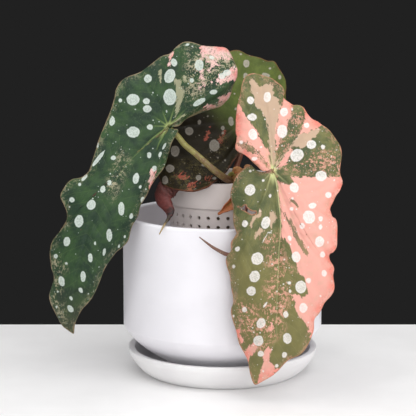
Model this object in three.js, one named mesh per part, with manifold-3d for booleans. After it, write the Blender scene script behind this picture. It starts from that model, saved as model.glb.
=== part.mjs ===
// A polka dot begonia in a white pot: saucer, outer pot, perforated inner pot, soil, stem and three leaves.
// Millimetres, +Z up, +X right, the front of the plant towards -Y. The origin is the centre of the
// saucer's underside, on the surface that the saucer stands on.
import * as THREE from "three";
import { mergeVertices } from "three/addons/utils/BufferGeometryUtils.js";
import Module from "manifold-3d";

const wasm = await Module();
wasm.setup();

// ---- Driving dimensions ----

const SEAT_GAP = 0.3; // between a piece and the one that carries it
const ROUND_SIDES = 48; // sides of the saucer and the outer pot
const CANE_SIDES = 10;
const LEAF_STALK_SIDES = 8;
const THIN_SIDES = 6; // sides of the tendril and the dried tip

const SAUCER = {
  baseRadius: 46.2,
  rimRadius: 57.3,
  rimInnerRadius: 53.2,
  height: 16,
  floor: 3,
  floorRadius: 47,
};

const POT = {
  radius: 60,
  wall: 4.1,
  top: 97.3,
  foot: { radius: 34, inner: 28, recess: 8 },
  floor: 14,
  shoulder: { top: 30, innerTop: 32, inset: 26, innerInset: 24, drop: 21 }, // the rounded lower corner
  flatness: 1.54, // of the shoulder's curve, where 1 is an ellipse
  drainRadius: 6,
};
POT.base = SAUCER.floor + SEAT_GAP;

const LINER = {
  collarRadius: 33.3,
  collarBottom: 104.3,
  top: 119.6,
  wallRadius: 31.9,
  baseRadius: 28.5,
  wall: 1.4,
  floor: 2,
  sides: 34, // one hole to a side
  holeRadius: 1.05,
  holeSides: 6,
  holeRows: [98.9, 93.6],
  drain: { radius: 3, circle: 16, count: 5, sides: 10 }, // and one more hole in the middle
};
LINER.base = POT.floor + SEAT_GAP;

const SOIL = {
  top: 114.5,
  sides: 24,
  crown: [[0.7, -0.3], [0.3, 0.6], [0, 0.4]], // [share of the wall's radius, height above the top]
};

const CANE = {
  foot: [8, 3, 58],
  atSoil: [8, 3, 114.5],
  bend: [8, 0.5, 119.5],
  firstNode: [6.6, -25, 120.6],
  overRim: [[10.2, -30.5, 123.2], [12.8, -35, 123.3]],
  secondNode: [14, -38, 120.8],
  bud: [17, -44, 125],
  radius: 3.3,
};

const BLADE_THICKNESS = 0.9;
const BLADE_RINGS = [0.1, 0.26, 0.45, 0.64, 0.83, 1]; // shares of the way from the stalk to the margin
const STIPULE_RINGS = [0.5, 1];

// The plant's points are [across, up, forward]. Across and up are measured in the upright plane through
// the pot's axis, and the point then comes forward along its sight line to this viewing station.
const STATION = new THREE.Vector3(-8.8, -1000, 264.7);

// ---- The three leaves: outlines clockwise from the cut at the stalk, as seen from the front ----
// A rib is [number of the margin point that it runs to, its middle point].

// Dark green, hanging to the left and in front of the pot's side.
const LEFT_LEAF = {
  attachment: [-32.5, 149.5, 20],
  margin: [
    [-29, 148, 20], [-26.5, 147, 20.5], [-28.5, 143, 22], [-31, 138.5, 24], [-32, 133, 26],
    [-34.5, 126, 29], [-38.5, 120, 32], [-43, 113, 35], [-46, 107.5, 37], [-49, 101.5, 39],
    [-51, 95.5, 40], [-53.5, 90.5, 40], [-55.5, 85.5, 39.5], [-57.5, 79.5, 39], [-60.5, 75.5, 39],
    [-65, 72.5, 40], [-70, 64.5, 41], [-75, 53.5, 41], [-80.5, 43, 40], [-86, 36, 39],
    [-90, 28.5, 37], [-90.5, 22, 36], [-94.5, 25, 37], [-99, 29.5, 38], [-103, 37.5, 39],
    [-105, 46, 40], [-103.5, 52, 41], [-102, 58.5, 42], [-104, 64, 41], [-104.5, 71, 40],
    [-102.5, 80, 39], [-99, 85.5, 39], [-94.5, 91, 40], [-94, 96, 40], [-95.5, 102, 38],
    [-97.5, 108, 36], [-94.5, 114, 34], [-90, 117.5, 33], [-84.5, 119, 34], [-80, 123, 34],
    [-77.5, 131, 31], [-74.5, 140.5, 27], [-71, 149, 23], [-67, 159.5, 19], [-64.5, 166.5, 17],
    [-63.5, 172, 15], [-60.5, 176.5, 13], [-55.5, 179.5, 11], [-48.5, 182.5, 9], [-42.5, 186.5, 7],
    [-36.5, 191.5, 5], [-31, 193, 5], [-28, 196.5, 2], [-24, 199.5, 0], [-18.5, 199.5, 0],
    [-12.5, 198, 2], [-8, 197, 3], [-3, 197, 2], [1, 196.5, 2], [4.5, 193, 3],
    [7.5, 187.5, 5], [8.5, 182.5, 7], [8, 176.5, 9], [5.5, 172, 7], [3.5, 166, 6],
    [1, 163, 6], [-3.5, 161, 7], [-8, 160, 8], [-13.5, 158.5, 9], [-20.5, 154.5, 14],
    [-25, 150.5, 18], [-28.5, 149.5, 20],
  ],
  ribs: [
    [0, [-31, 148.5, 20]], [3, [-32.5, 143, 23]], [6, [-38, 134, 29]],
    [9, [-44, 124.5, 34]], [12, [-49.5, 116.5, 37]], [15, [-56.5, 109, 40]],
    [18, [-67, 96.5, 45]], [21, [-75, 90.5, 47]], [23, [-76.5, 95, 46]],
    [26, [-74, 102, 44]], [29, [-72.5, 110, 41]], [32, [-67.5, 117.5, 38]],
    [35, [-65, 123, 35]], [38, [-60.5, 128.5, 31]], [41, [-53.5, 144.5, 25]],
    [44, [-49.5, 158, 20]], [47, [-44, 164.5, 17]], [50, [-35, 170.5, 14]],
    [53, [-27, 175, 12]], [56, [-19.5, 175, 12]], [59, [-13.5, 173, 15]],
    [62, [-10.5, 164.5, 19]], [65, [-16, 157, 16]], [68, [-23, 153.5, 17]],
    [71, [-30.5, 149.5, 20]],
  ],
};

// Pink and olive, hanging in front of the pot.
const RIGHT_LEAF = {
  attachment: [30, 123, 62],
  margin: [
    [27, 122.5, 62.5], [23.5, 123, 62], [19, 126.5, 61], [15.5, 131, 60], [12.5, 132.5, 59],
    [9, 134.5, 57], [7.5, 137.5, 56], [8, 143, 54], [8, 147.5, 52], [7.5, 154.5, 50],
    [8.5, 159.5, 49], [9, 163.5, 48], [10.5, 169.5, 46], [11.5, 175, 43], [13.5, 179.5, 41],
    [17.5, 181, 40], [22.5, 180.5, 39], [27, 179, 39], [31.5, 176.5, 39], [35.5, 173.5, 40],
    [36.5, 170, 41], [36.5, 167, 42], [39, 164, 43], [41.5, 162.5, 43], [44.5, 162.5, 42],
    [48, 160.5, 42], [51, 157, 43], [53.5, 153.5, 44], [57.5, 152, 43], [61.5, 149, 44],
    [66, 144, 46], [70, 139, 48], [71, 133.5, 50], [71, 127, 52], [70.5, 120.5, 55],
    [72, 115.5, 57], [71, 111.5, 59], [68, 107.5, 61], [66.5, 103, 63], [64.5, 99, 64],
    [66, 95.5, 66], [68.5, 93, 66], [69, 85, 67], [69.5, 77, 68], [67, 73.5, 70],
    [65, 71.5, 70], [65.5, 67, 70], [67.5, 62.5, 69], [67.5, 57.5, 70], [67.5, 50.5, 71],
    [66, 45.5, 72], [61.5, 41, 72], [58.5, 34.5, 73], [56, 30.5, 73], [55, 23.5, 74],
    [53, 16, 75], [48, 10, 76], [41, 6, 76], [34.5, -0.5, 76], [27, -6, 76],
    [20, -10, 75], [17.5, -3.5, 75], [15.5, 4, 75], [13, 11, 74], [9.5, 18.5, 73],
    [7.5, 26, 72], [5.5, 36, 71], [6, 42, 71], [6, 49, 70], [4.5, 56.5, 69],
    [3, 62.5, 69], [2.5, 69.5, 69], [4.5, 74, 69], [5.5, 79, 69], [8, 83, 69],
    [7, 89, 68], [6.5, 96.5, 67], [5.5, 102, 65.5], [5, 108.5, 63], [5.5, 113.5, 61],
    [7.5, 118, 59], [10.5, 122, 57], [13.5, 125, 56], [17.5, 126, 56],
  ],
  ribs: [
    [0, [28.5, 123, 62.5]], [2, [24, 125.5, 62.5]], [4, [22, 129, 62]],
    [6, [18.5, 133, 61]], [9, [19.5, 139, 59]], [12, [21, 148.5, 55]],
    [15, [24, 152, 52]], [18, [29.5, 151.5, 51]], [21, [33.5, 146.5, 53]],
    [24, [37, 143.5, 55]], [27, [42, 139, 56]], [30, [48.5, 134, 58]],
    [33, [51, 125.5, 60]], [36, [51, 117, 63]], [39, [48.5, 108.5, 67]],
    [42, [50, 101.5, 71]], [45, [48, 91.5, 74]], [48, [48.5, 85.5, 75]],
    [51, [46, 77, 77]], [54, [42, 70, 79]], [57, [37, 64.5, 80]],
    [60, [33, 56, 81]], [63, [24, 64.5, 79]], [66, [18.5, 76, 77]],
    [69, [17, 86.5, 76]], [72, [17, 96.5, 74]], [75, [18, 104.5, 71]],
    [78, [17.5, 113, 67]], [80, [19, 118, 63]], [83, [23.5, 122, 60.3]],
  ],
};

// Behind the other two, with its lower side in front of the inner pot's collar.
const BACK_LEAF = {
  attachment: [14, 153.5, -16],
  margin: [
    [12.5, 146.5, -10], [10.5, 139.5, -1], [9, 133, 9], [6, 127.5, 17], [2, 122.5, 24],
    [-3, 117.5, 32], [-7, 114.5, 37.5], [-10.5, 112.5, 39.5], [-14.5, 110.5, 40], [-19.5, 110.5, 38.5],
    [-24.5, 110.5, 36], [-29, 111.5, 33], [-33.5, 113, 29.5], [-36.5, 114.5, 25.5], [-38.5, 118.5, 21],
    [-40.5, 124.5, 15], [-43, 131.5, 9], [-43, 140, 2], [-41, 149.5, -4], [-36, 159.5, -11],
    [-30, 167.5, -17], [-22.5, 176, -24], [-14, 184.5, -31], [-5, 191, -37], [4.5, 194.5, -41],
    [10, 194.5, -42], [15, 192.5, -42], [21, 190.5, -42], [26, 189, -42], [30, 188.5, -42],
    [32.5, 185.5, -41], [35.5, 181.5, -40], [37, 177, -39], [38, 172, -37], [37.5, 166, -34],
    [38.5, 158.5, -30], [39, 151, -26], [36, 143, -22], [29.5, 137.5, -18], [22.5, 138, -17],
    [17, 142, -16.5], [14.5, 146.5, -14],
  ],
  ribs: [
    [0, [13.5, 150, -13]], [2, [10, 143, -8]], [5, [4.5, 136, 4]],
    [8, [-2, 132, 12]], [11, [-9, 133, 15]], [13, [-13.5, 135, 14]],
    [16, [-15, 142.5, 7]], [19, [-12, 156.5, -5]], [22, [-1.5, 167.5, -18]],
    [25, [10, 173, -27]], [28, [20, 172, -28]], [31, [25, 167, -27]],
    [34, [26, 160, -24]], [37, [24.5, 148, -19]], [39, [18.5, 145.5, -16.5]],
    [41, [14.5, 150, -16]],
  ],
};

// The back leaf's dried, curled tip and its thin tail, past the collar and over the outer rim:
// [across, up, forward, half width, half thickness].
const DRIED_TIP = [
  [-29, 114.5, 26, 4.5, 0.5],
  [-33, 112.3, 26.5, 6, 0.6],
  [-35.8, 108.6, 28, 5.8, 0.7],
  [-35.8, 104.8, 30.5, 4.6, 0.8],
  [-33.3, 101, 34, 3, 1],
  [-31.7, 97.7, 38, 2.4, 1.3],
  [-32.3, 94.6, 42, 1.2, 0.8],
  [-33.6, 92.1, 45.5, 0.7, 0.6],
  [-34.9, 90.2, 48.5, 0.6, 0.5],
  [-36.4, 87.4, 50.8, 0.5, 0.4],
  [-38.2, 83.9, 52, 0.4, 0.35],
];

// Leaf stalks between their node and the blade: [across, up, forward, radius].
const LEFT_STALK = [
  [5.6, 116.6, 26, 2.4],
  [0.8, 118.6, 33, 2.1],
  [-5, 123, 35, 1.9],
  [-11.2, 128.4, 32, 1.8],
  [-16.8, 133.4, 27, 1.75],
  [-22.6, 138.3, 21, 1.7],
  [-26.9, 143.6, 17.5, 1.6],
];
const BACK_STALK = [
  [6.6, 117.6, 23, 2.1],
  [7.8, 123.8, 13, 1.8],
  [10.6, 132.2, -2, 1.6],
  [13.3, 142.5, -17, 1.5],
];
const RIGHT_STALK = [
  [14.5, 114.5, 38, 2.3],
  [18.5, 115.5, 46, 1.9],
  [24.5, 118.5, 55, 1.7],
];

// Green and dried stipules at the two nodes, and the dried tendril that hangs over the outer rim.
const GREEN_STIPULE = {
  attachment: [7, 115.8, 24.5],
  margin: [
    [5, 113.5, 25], [2.5, 115, 28], [2, 118, 29.5], [4, 121.5, 30], [6.5, 121.5, 29], [8.5, 118, 27],
  ],
};
const CRINKLED_STIPULE = {
  attachment: [8, 116, 24.5],
  margin: [
    [5.5, 119, 23], [6, 123.5, 23], [9, 125.5, 25], [12, 124, 24], [14.5, 126.5, 25],
    [17.5, 125, 24], [16, 120, 25], [12, 116, 26],
  ],
};
const HANGING_STIPULE = {
  attachment: [14.5, 114.5, 38],
  margin: [
    [15, 106, 42], [8.5, 100, 43], [3, 98, 43.5], [-2.8, 95.8, 42.5], [0, 99.8, 43], [3.5, 104.5, 43],
    [9, 110, 41],
  ],
};
const TENDRIL = [
  [14.6, 114, 39, 1],
  [15, 108.4, 48, 0.9],
  [14.6, 102.6, 55, 0.9],
  [13.8, 96.6, 61, 0.9],
  [12.7, 90.3, 63.8, 0.9],
  [10.5, 80.5, 64.3, 1],
  [7.3, 73.3, 64.6, 1.1],
  [3.3, 71.4, 64.6, 1.2],
  [-4.6, 75.2, 64.4, 0.9],
  [-9.4, 78.6, 63.9, 0.6],
  [-14.1, 82.3, 63.3, 0.35],
];

// ---- Shapes ----

const at = (xyz) => new THREE.Vector3(...xyz);

// The place of an [across, up, forward] point.
function onSightLine([across, up, forward]) {
  const share = 1 + forward / STATION.y;
  return new THREE.Vector3(across, 0, up).sub(STATION).multiplyScalar(share).add(STATION);
}

// The indexed geometry of a list of points and a list of point numbers, three to a triangle.
function facets(points, triangles) {
  const geometry = new THREE.BufferGeometry().setFromPoints(points);
  geometry.setIndex(triangles);
  return geometry;
}

// A closed geometry as a solid that can be joined and cut.
function solid(geometry) {
  const bare = geometry.clone();
  bare.deleteAttribute("normal");
  bare.deleteAttribute("uv");
  const merged = mergeVertices(bare, 1e-4);
  return new wasm.Manifold(
    new wasm.Mesh({
      numProp: 3,
      vertProperties: new Float32Array(merged.attributes.position.array),
      triVerts: new Uint32Array(merged.index.array),
    }),
  );
}

const joined = (geometries) => geometries.map(solid).reduce((all, next) => all.add(next));

function geometryOf(manifold) {
  const mesh = manifold.getMesh();
  const geometry = new THREE.BufferGeometry();
  geometry.setAttribute("position", new THREE.BufferAttribute(mesh.vertProperties, 3));
  geometry.setIndex(new THREE.BufferAttribute(mesh.triVerts, 1));
  geometry.computeVertexNormals();
  return geometry;
}

// A profile of [radius, height] points turned about the Z axis.
function turned(profile, sides) {
  const points = profile.map(([radius, height]) => new THREE.Vector2(radius, height));
  return new THREE.LatheGeometry(points, sides).rotateX(Math.PI / 2);
}

// An upright cylinder about a middle point.
const upright = (radius, height, sides, middle) =>
  new THREE.CylinderGeometry(radius, radius, height, sides).rotateX(Math.PI / 2).translate(...middle);

// Points on a quarter of a flattened ellipse, from its widest point down to its lowest.
function shoulderArc(widest, inset, top, drop, steps) {
  return Array.from({ length: steps + 1 }, (_, i) => {
    const turn = ((i / steps) * Math.PI) / 2;
    const out = i === steps ? 0 : Math.cos(turn) ** POT.flatness;
    const down = Math.sin(turn) ** POT.flatness;
    return [widest - inset * (1 - out), top - drop * down];
  });
}

// A closed tube of rings, each an ellipse given by its centre and its two half-axis vectors.
function ringTube(rings, sides) {
  const points = [];
  const triangles = [];
  rings.forEach(({ centre, wide, deep }) => {
    for (let k = 0; k < sides; k++) {
      const turn = (2 * Math.PI * k) / sides;
      points.push(
        centre.clone().addScaledVector(wide, Math.cos(turn)).addScaledVector(deep, Math.sin(turn)),
      );
    }
  });
  for (let i = 0; i + 1 < rings.length; i++) {
    for (let k = 0; k < sides; k++) {
      const a = i * sides + k;
      const b = i * sides + ((k + 1) % sides);
      triangles.push(a, b, b + sides, a, b + sides, a + sides);
    }
  }
  const last = (rings.length - 1) * sides;
  for (let k = 1; k + 1 < sides; k++) {
    triangles.push(0, k + 1, k);
    triangles.push(last, last + k, last + k + 1);
  }
  return facets(points, triangles);
}

// A tapering round stalk through [place, radius] stations.
function stalk(stations, sides) {
  const curve = new THREE.CatmullRomCurve3(stations.map(([place]) => place));
  const steps = stations.length - 1;
  const frames = curve.computeFrenetFrames(steps, false);
  const rings = stations.map(([, radius], i) => ({
    centre: curve.getPoint(i / steps),
    wide: frames.normals[i].clone().multiplyScalar(radius),
    deep: frames.binormals[i].clone().multiplyScalar(radius),
  }));
  return ringTube(rings, sides);
}

const stalkOnSightLines = (stations) =>
  stations.map(([across, up, forward, radius]) => [onSightLine([across, up, forward]), radius]);

// A smooth value at x through unevenly spaced [key, Vector3] pairs.
function smoothAt(pairs, x) {
  const last = pairs.length - 1;
  let i = 0;
  while (i < last - 1 && pairs[i + 1][0] <= x) i++;
  const slope = (k) => {
    const before = pairs[Math.max(k - 1, 0)];
    const after = pairs[Math.min(k + 1, last)];
    return after[1].clone().sub(before[1]).divideScalar(after[0] - before[0]);
  };
  const span = pairs[i + 1][0] - pairs[i][0];
  const t = (x - pairs[i][0]) / span;
  return pairs[i][1]
    .clone()
    .multiplyScalar(2 * t ** 3 - 3 * t ** 2 + 1)
    .addScaledVector(pairs[i + 1][1], 3 * t ** 2 - 2 * t ** 3)
    .addScaledVector(slope(i), (t ** 3 - 2 * t ** 2 + t) * span)
    .addScaledVector(slope(i + 1), (t ** 3 - t ** 2) * span);
}

// The upper face of a blade: fans of points from the stalk out along bent ribs to the waved margin.
function bladeSheet(leaf, rings) {
  const stalkEnd = onSightLine(leaf.attachment);
  const margin = leaf.margin.map(onSightLine);
  const straight = margin.map((end, i) => [i, end.clone().lerp(stalkEnd, 0.5)]);
  const middles = leaf.ribs ? leaf.ribs.map(([i, middle]) => [i, onSightLine(middle)]) : straight;
  const ends = middles.map(([i]) => [i, margin[i]]);
  const points = [stalkEnd];
  rings.forEach((v) => {
    margin.forEach((end, i) => {
      const middle = smoothAt(middles, i);
      const inner = stalkEnd.clone().lerp(middle, 2 / 3);
      const outer = middle
        .clone()
        .multiplyScalar(2)
        .addScaledVector(stalkEnd, -2 / 3)
        .addScaledVector(smoothAt(ends, i), -1 / 3);
      const rib = new THREE.CubicBezierCurve3(stalkEnd, inner, outer, end);
      points.push(rib.getPoint(v));
    });
  });
  const across = margin.length;
  const triangles = [];
  for (let i = 0; i + 1 < across; i++) {
    triangles.push(0, i + 2, i + 1);
    for (let r = 0; r + 1 < rings.length; r++) {
      const a = 1 + r * across + i;
      triangles.push(a, a + 1, a + across, a + 1, a + across + 1, a + across);
    }
  }
  return { points, triangles, across };
}

// The mean direction that a sheet faces.
function facing({ points, triangles }) {
  const sum = new THREE.Vector3();
  for (let i = 0; i < triangles.length; i += 3) {
    const [a, b, c] = triangles.slice(i, i + 3).map((n) => points[n]);
    sum.add(b.clone().sub(a).cross(c.clone().sub(a)));
  }
  return sum.normalize();
}

// A blade: its sheet, the same sheet set back by the thickness, and the edge between them.
function blade(leaf, rings) {
  const sheet = bladeSheet(leaf, rings);
  const back = facing(sheet).multiplyScalar(-BLADE_THICKNESS);
  const count = sheet.points.length;
  const points = [...sheet.points, ...sheet.points.map((p) => p.clone().add(back))];
  const triangles = [...sheet.triangles];
  for (let i = 0; i < sheet.triangles.length; i += 3) {
    const [a, b, c] = sheet.triangles.slice(i, i + 3);
    triangles.push(a + count, c + count, b + count);
  }
  const { across } = sheet;
  const ring = (r, i) => 1 + r * across + i;
  const outer = rings.length - 1;
  const edge = [
    0,
    ...rings.map((_, r) => ring(r, 0)),
    ...Array.from({ length: across - 1 }, (_, i) => ring(outer, i + 1)),
    ...rings.slice(0, -1).map((_, r) => ring(outer - 1 - r, across - 1)),
  ];
  edge.forEach((a, i) => {
    const b = edge[(i + 1) % edge.length];
    triangles.push(a, b, b + count, a, b + count, a + count);
  });
  return facets(points, triangles);
}

// ---- Pieces ----

function saucer() {
  const { baseRadius, rimRadius, rimInnerRadius, height, floor, floorRadius } = SAUCER;
  const profile = [
    [0, 0],
    [baseRadius - 1, 0],
    [baseRadius + 0.6, 0.6],
    [baseRadius + 4.2, 3.2],
    [baseRadius + 8.2, 7.6],
    [rimRadius - 0.7, 12],
    [rimRadius, height - 1.6],
    [rimRadius - 0.7, height - 0.4],
    [rimRadius - 2, height],
    [rimInnerRadius, height - 0.6],
    [rimInnerRadius - 0.8, height - 3],
    [floorRadius + 2, floor + 2.6],
    [floorRadius, floor],
    [0, floor],
  ];
  return turned(profile, ROUND_SIDES);
}

function outerPot() {
  const { radius, wall, top, base, foot, floor, shoulder, drainRadius } = POT;
  const { innerTop, innerInset } = shoulder;
  const outside = shoulderArc(radius, shoulder.inset, shoulder.top, shoulder.drop, 8);
  const inside = shoulderArc(radius - wall, innerInset, innerTop, innerTop - floor, 6);
  const profile = [
    [drainRadius, foot.recess],
    [foot.inner, foot.recess],
    [foot.inner + 0.6, base],
    [foot.radius - 0.8, base],
    [foot.radius, base + 0.8],
    ...outside.reverse(),
    [radius, top - 1.2],
    [radius - 1.2, top],
    [radius - wall + 1, top],
    [radius - wall, top - 1],
    ...inside,
    [drainRadius, floor],
    [drainRadius, foot.recess],
  ];
  return turned(profile, ROUND_SIDES);
}

// Round holes through the wall, one to a side in each row.
function wallHoles() {
  const { sides, holeRadius, holeSides, holeRows, wallRadius, wall } = LINER;
  const length = 6 * wall;
  const holes = [];
  holeRows.forEach((height) => {
    for (let k = 0; k < sides; k++) {
      const hole = new THREE.CylinderGeometry(holeRadius, holeRadius, length, holeSides);
      hole.translate(0, wallRadius, 0).rotateZ((2 * Math.PI * (k + 0.5)) / sides);
      holes.push(hole.translate(0, 0, height));
    }
  });
  return joined(holes);
}

// Holes through the floor, in a circle and in its middle.
function drainHoles() {
  const { drain, base, floor } = LINER;
  const places = [[0, 0]];
  for (let k = 0; k < drain.count; k++) {
    const turn = (2 * Math.PI * k) / drain.count;
    places.push([drain.circle * Math.cos(turn), drain.circle * Math.sin(turn)]);
  }
  return joined(places.map(([x, y]) => upright(drain.radius, 4 * floor, drain.sides, [x, y, base])));
}

function innerPot() {
  const { collarRadius, collarBottom, top, wallRadius, baseRadius, wall, base, floor, sides } = LINER;
  const profile = [
    [0, base],
    [baseRadius - 1.5, base],
    [baseRadius, base + 1.5],
    [wallRadius, collarBottom - 2],
    [wallRadius, collarBottom],
    [collarRadius, collarBottom + 0.3],
    [collarRadius, top - 0.8],
    [collarRadius - 0.8, top],
    [wallRadius - wall + 0.7, top],
    [wallRadius - wall, top - 0.7],
    [baseRadius - wall, base + floor],
    [0, base + floor],
  ];
  return geometryOf(
    solid(turned(profile, sides)).subtract(wallHoles()).subtract(drainHoles()),
  );
}

// The soil fills the inner pot, and has a plain hole for the cane's foot.
function soil() {
  const { wallRadius, baseRadius, wall, base, floor } = LINER;
  const bottom = base + floor + SEAT_GAP;
  const fit = wall + 2 * SEAT_GAP;
  const profile = [
    [0, bottom],
    [baseRadius - fit, bottom],
    [wallRadius - fit - 0.4, SOIL.top - 1.5],
    ...SOIL.crown.map(([share, rise]) => [wallRadius * share, SOIL.top + rise]),
  ];
  const [x, y, foot] = CANE.foot;
  const depth = 2 * (SOIL.top - foot);
  const middle = foot - SEAT_GAP + depth / 2;
  const hole = upright(CANE.radius + SEAT_GAP, depth, CANE_SIDES, [x, y, middle]);
  return geometryOf(solid(turned(profile, SOIL.sides)).subtract(solid(hole)));
}

// A leaf's stalk, ending just behind the blade and square to the part around it.
function leafStalk(stations, leaf) {
  const sheet = bladeSheet(leaf, BLADE_RINGS);
  const innerFan = sheet.triangles.filter((_, i, all) => all[i - (i % 3)] === 0);
  const away = facing({ points: sheet.points, triangles: innerFan }).negate();
  const face = onSightLine(leaf.attachment);
  const behind = (distance) => face.clone().addScaledVector(away, BLADE_THICKNESS + distance);
  const end = [
    [behind(3 + SEAT_GAP), 1.4],
    [behind(2 * SEAT_GAP), 1],
  ];
  return stalk([...stalkOnSightLines(stations), ...end], LEAF_STALK_SIDES);
}

function stem() {
  const { foot, atSoil, bend, firstNode, overRim, secondNode, bud, radius } = CANE;
  const cane = stalk(
    [
      [at(foot), radius],
      [at(atSoil), radius],
      [at(bend), radius],
      [at(firstNode), radius + 0.3],
      ...overRim.map((place) => [at(place), radius - 0.5]),
      [at(secondNode), radius],
      [at(bud), 0.8],
    ],
    CANE_SIDES,
  );
  return geometryOf(
    joined([
      cane,
      leafStalk(LEFT_STALK, LEFT_LEAF),
      leafStalk(BACK_STALK, BACK_LEAF),
      leafStalk(RIGHT_STALK, RIGHT_LEAF),
      blade(GREEN_STIPULE, STIPULE_RINGS),
      blade(CRINKLED_STIPULE, STIPULE_RINGS),
      blade(HANGING_STIPULE, STIPULE_RINGS),
      stalk(stalkOnSightLines(TENDRIL), THIN_SIDES),
    ]),
  );
}

// The dried tip is a flattened, tapering ribbon that lies across its own path.
function driedTip() {
  const centres = DRIED_TIP.map(([across, up, forward]) => onSightLine([across, up, forward]));
  const facingOut = new THREE.Vector3(-0.35, -0.9, 0.25).normalize();
  const rings = centres.map((centre, i) => {
    const along = centres[Math.min(i + 1, centres.length - 1)]
      .clone()
      .sub(centres[Math.max(i - 1, 0)])
      .normalize();
    const [, , , halfWidth, halfThickness] = DRIED_TIP[i];
    const wide = facingOut.clone().cross(along).normalize();
    const deep = along.clone().cross(wide).normalize();
    return { centre, wide: wide.multiplyScalar(halfWidth), deep: deep.multiplyScalar(halfThickness) };
  });
  return ringTube(rings, THIN_SIDES);
}

const backLeaf = () => geometryOf(joined([blade(BACK_LEAF, BLADE_RINGS), driedTip()]));

// ---- Assembly ----

const WHITE_GLAZE = { color: 0xebe9ee, roughness: 0.3, metalness: 0 };
const WHITE_PLASTIC = { color: 0xe6e4e8, roughness: 0.45, metalness: 0 };
const DARK_SOIL = { color: 0x2b2019, roughness: 1, metalness: 0 };
const STEM_GREEN = { color: 0x7a7038, roughness: 0.6, metalness: 0 };
const LEAF_GREEN = { color: 0x35603a, roughness: 0.5, metalness: 0 };
const LEAF_PINK = { color: 0xd6947f, roughness: 0.5, metalness: 0 };
const LEAF_OLIVE = { color: 0x5a6a35, roughness: 0.5, metalness: 0 };

const plant = new THREE.Group();

function add(name, geometry, look) {
  const mesh = new THREE.Mesh(geometry, new THREE.MeshStandardMaterial(look));
  mesh.name = name;
  plant.add(mesh);
}

add("saucer", saucer(), WHITE_GLAZE);
add("outer_pot", outerPot(), WHITE_GLAZE);
add("inner_pot", innerPot(), WHITE_PLASTIC);
add("soil", soil(), DARK_SOIL);
add("stem", stem(), STEM_GREEN);
add("leaf_left", blade(LEFT_LEAF, BLADE_RINGS), LEAF_GREEN);
add("leaf_right", blade(RIGHT_LEAF, BLADE_RINGS), LEAF_PINK);
add("leaf_back", backLeaf(), LEAF_OLIVE);

export default plant;
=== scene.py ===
"""A white-spotted begonia in its pot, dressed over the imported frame.

Shapes are given in millimetres, and turned into metres where a mesh is made. +Z is up and the front of
the plant faces -Y.
"""
import math

import bpy
import numpy as np
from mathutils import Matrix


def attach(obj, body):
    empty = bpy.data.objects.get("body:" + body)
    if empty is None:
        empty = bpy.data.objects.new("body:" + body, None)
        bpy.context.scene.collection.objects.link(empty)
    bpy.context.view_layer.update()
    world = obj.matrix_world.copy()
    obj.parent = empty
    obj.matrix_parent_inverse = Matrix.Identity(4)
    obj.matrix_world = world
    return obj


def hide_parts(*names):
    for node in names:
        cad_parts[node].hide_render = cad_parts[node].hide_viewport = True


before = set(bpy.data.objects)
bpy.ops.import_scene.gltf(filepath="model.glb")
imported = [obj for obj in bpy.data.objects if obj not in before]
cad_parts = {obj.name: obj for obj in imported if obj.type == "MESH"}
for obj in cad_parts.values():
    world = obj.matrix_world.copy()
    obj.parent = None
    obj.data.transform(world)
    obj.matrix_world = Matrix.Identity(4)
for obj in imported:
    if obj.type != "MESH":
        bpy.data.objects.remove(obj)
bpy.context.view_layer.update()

MM = 0.001

# ---- Driving dimensions, in millimetres ----

TURNED_SIDES = 160

# Profiles are (radius, height, rounding), from the axis out, up the outside and back down the inside.
SAUCER_PROFILE = [
    (0, 0, 0),
    (45.8, 0, 0.8),
    (50.2, 3.2, 2),
    (54, 7.6, 2.5),
    (56.9, 12.6, 1.5),
    (57.3, 16, 0.8),
    (53.2, 15.7, 1),
    (51.2, 8.5, 3),
    (47.5, 3, 3),
    (0, 3, 0),
]
POT_RADIUS = 60
POT_WALL = 4.1
POT_TOP = 97.3
POT_FLOOR = 14
POT_SHOULDER = {"top": 30, "inner_top": 32, "inset": 26, "inner_inset": 24, "drop": 21}
POT_SHOULDER_FLATNESS = 1.54  # of the shoulder's curve, where 1 is an ellipse
POT_FOOT = {"radius": 34, "inner": 28, "recess": 8, "base": 3.3}
POT_DRAIN_RADIUS = 6
LINER_PROFILE = [
    (0, 14.3, 0),
    (28.5, 14.3, 1.5),
    (31.9, 102.3, 0.5),
    (31.5, 104, 0.2),
    (33.3, 104.4, 0.3),
    (33.3, 119.6, 0.8),
    (30.5, 119.6, 0.8),
    (27.1, 16.3, 1),
    (0, 16.3, 0),
]
HOLES_IN_A_ROW = 34
PERFORATION = {
    "Hole Radius": 1.05,
    "Hole Length": 8.0,
    "Wall Radius": 31.5,
    "Upper Row": 98.9,
    "Lower Row": 93.6,
}
SOIL_PROFILE = [
    (0, 16.6, 0),
    (26.5, 16.6, 1),
    (29.5, 112.7, 0.5),
    (24, 113.9, 3),
    (10, 114.9, 4),
    (0, 114.7, 0),
]
SOIL_TOP = {"radius": 27.5, "height": 114.6, "rings": 28, "sides": 90}
CRUMBS = {"density": 0.5, "size": 1.5, "seed": 4}  # the density is in crumbs to a square millimetre

CANE = [
    # x, y, z, radius
    (8, 3, 58, 3.3),
    (8, 3, 86, 3.3),
    (8, 3, 112, 3.3),
    (8, 0.5, 119.5, 3.3),
    (7.6, -8, 120.6, 3.1),
    (7, -17, 120.3, 3.1),
    (6.6, -25, 120.6, 3.7),
    (8.2, -28.4, 122.2, 2.9),
    (10.2, -30.5, 123.2, 2.8),
    (12.8, -35, 123.3, 2.8),
    (14, -38, 120.8, 3.4),
    (15.6, -41.5, 122.5, 2),
    (17, -44, 125, 0.7),
]

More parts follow.
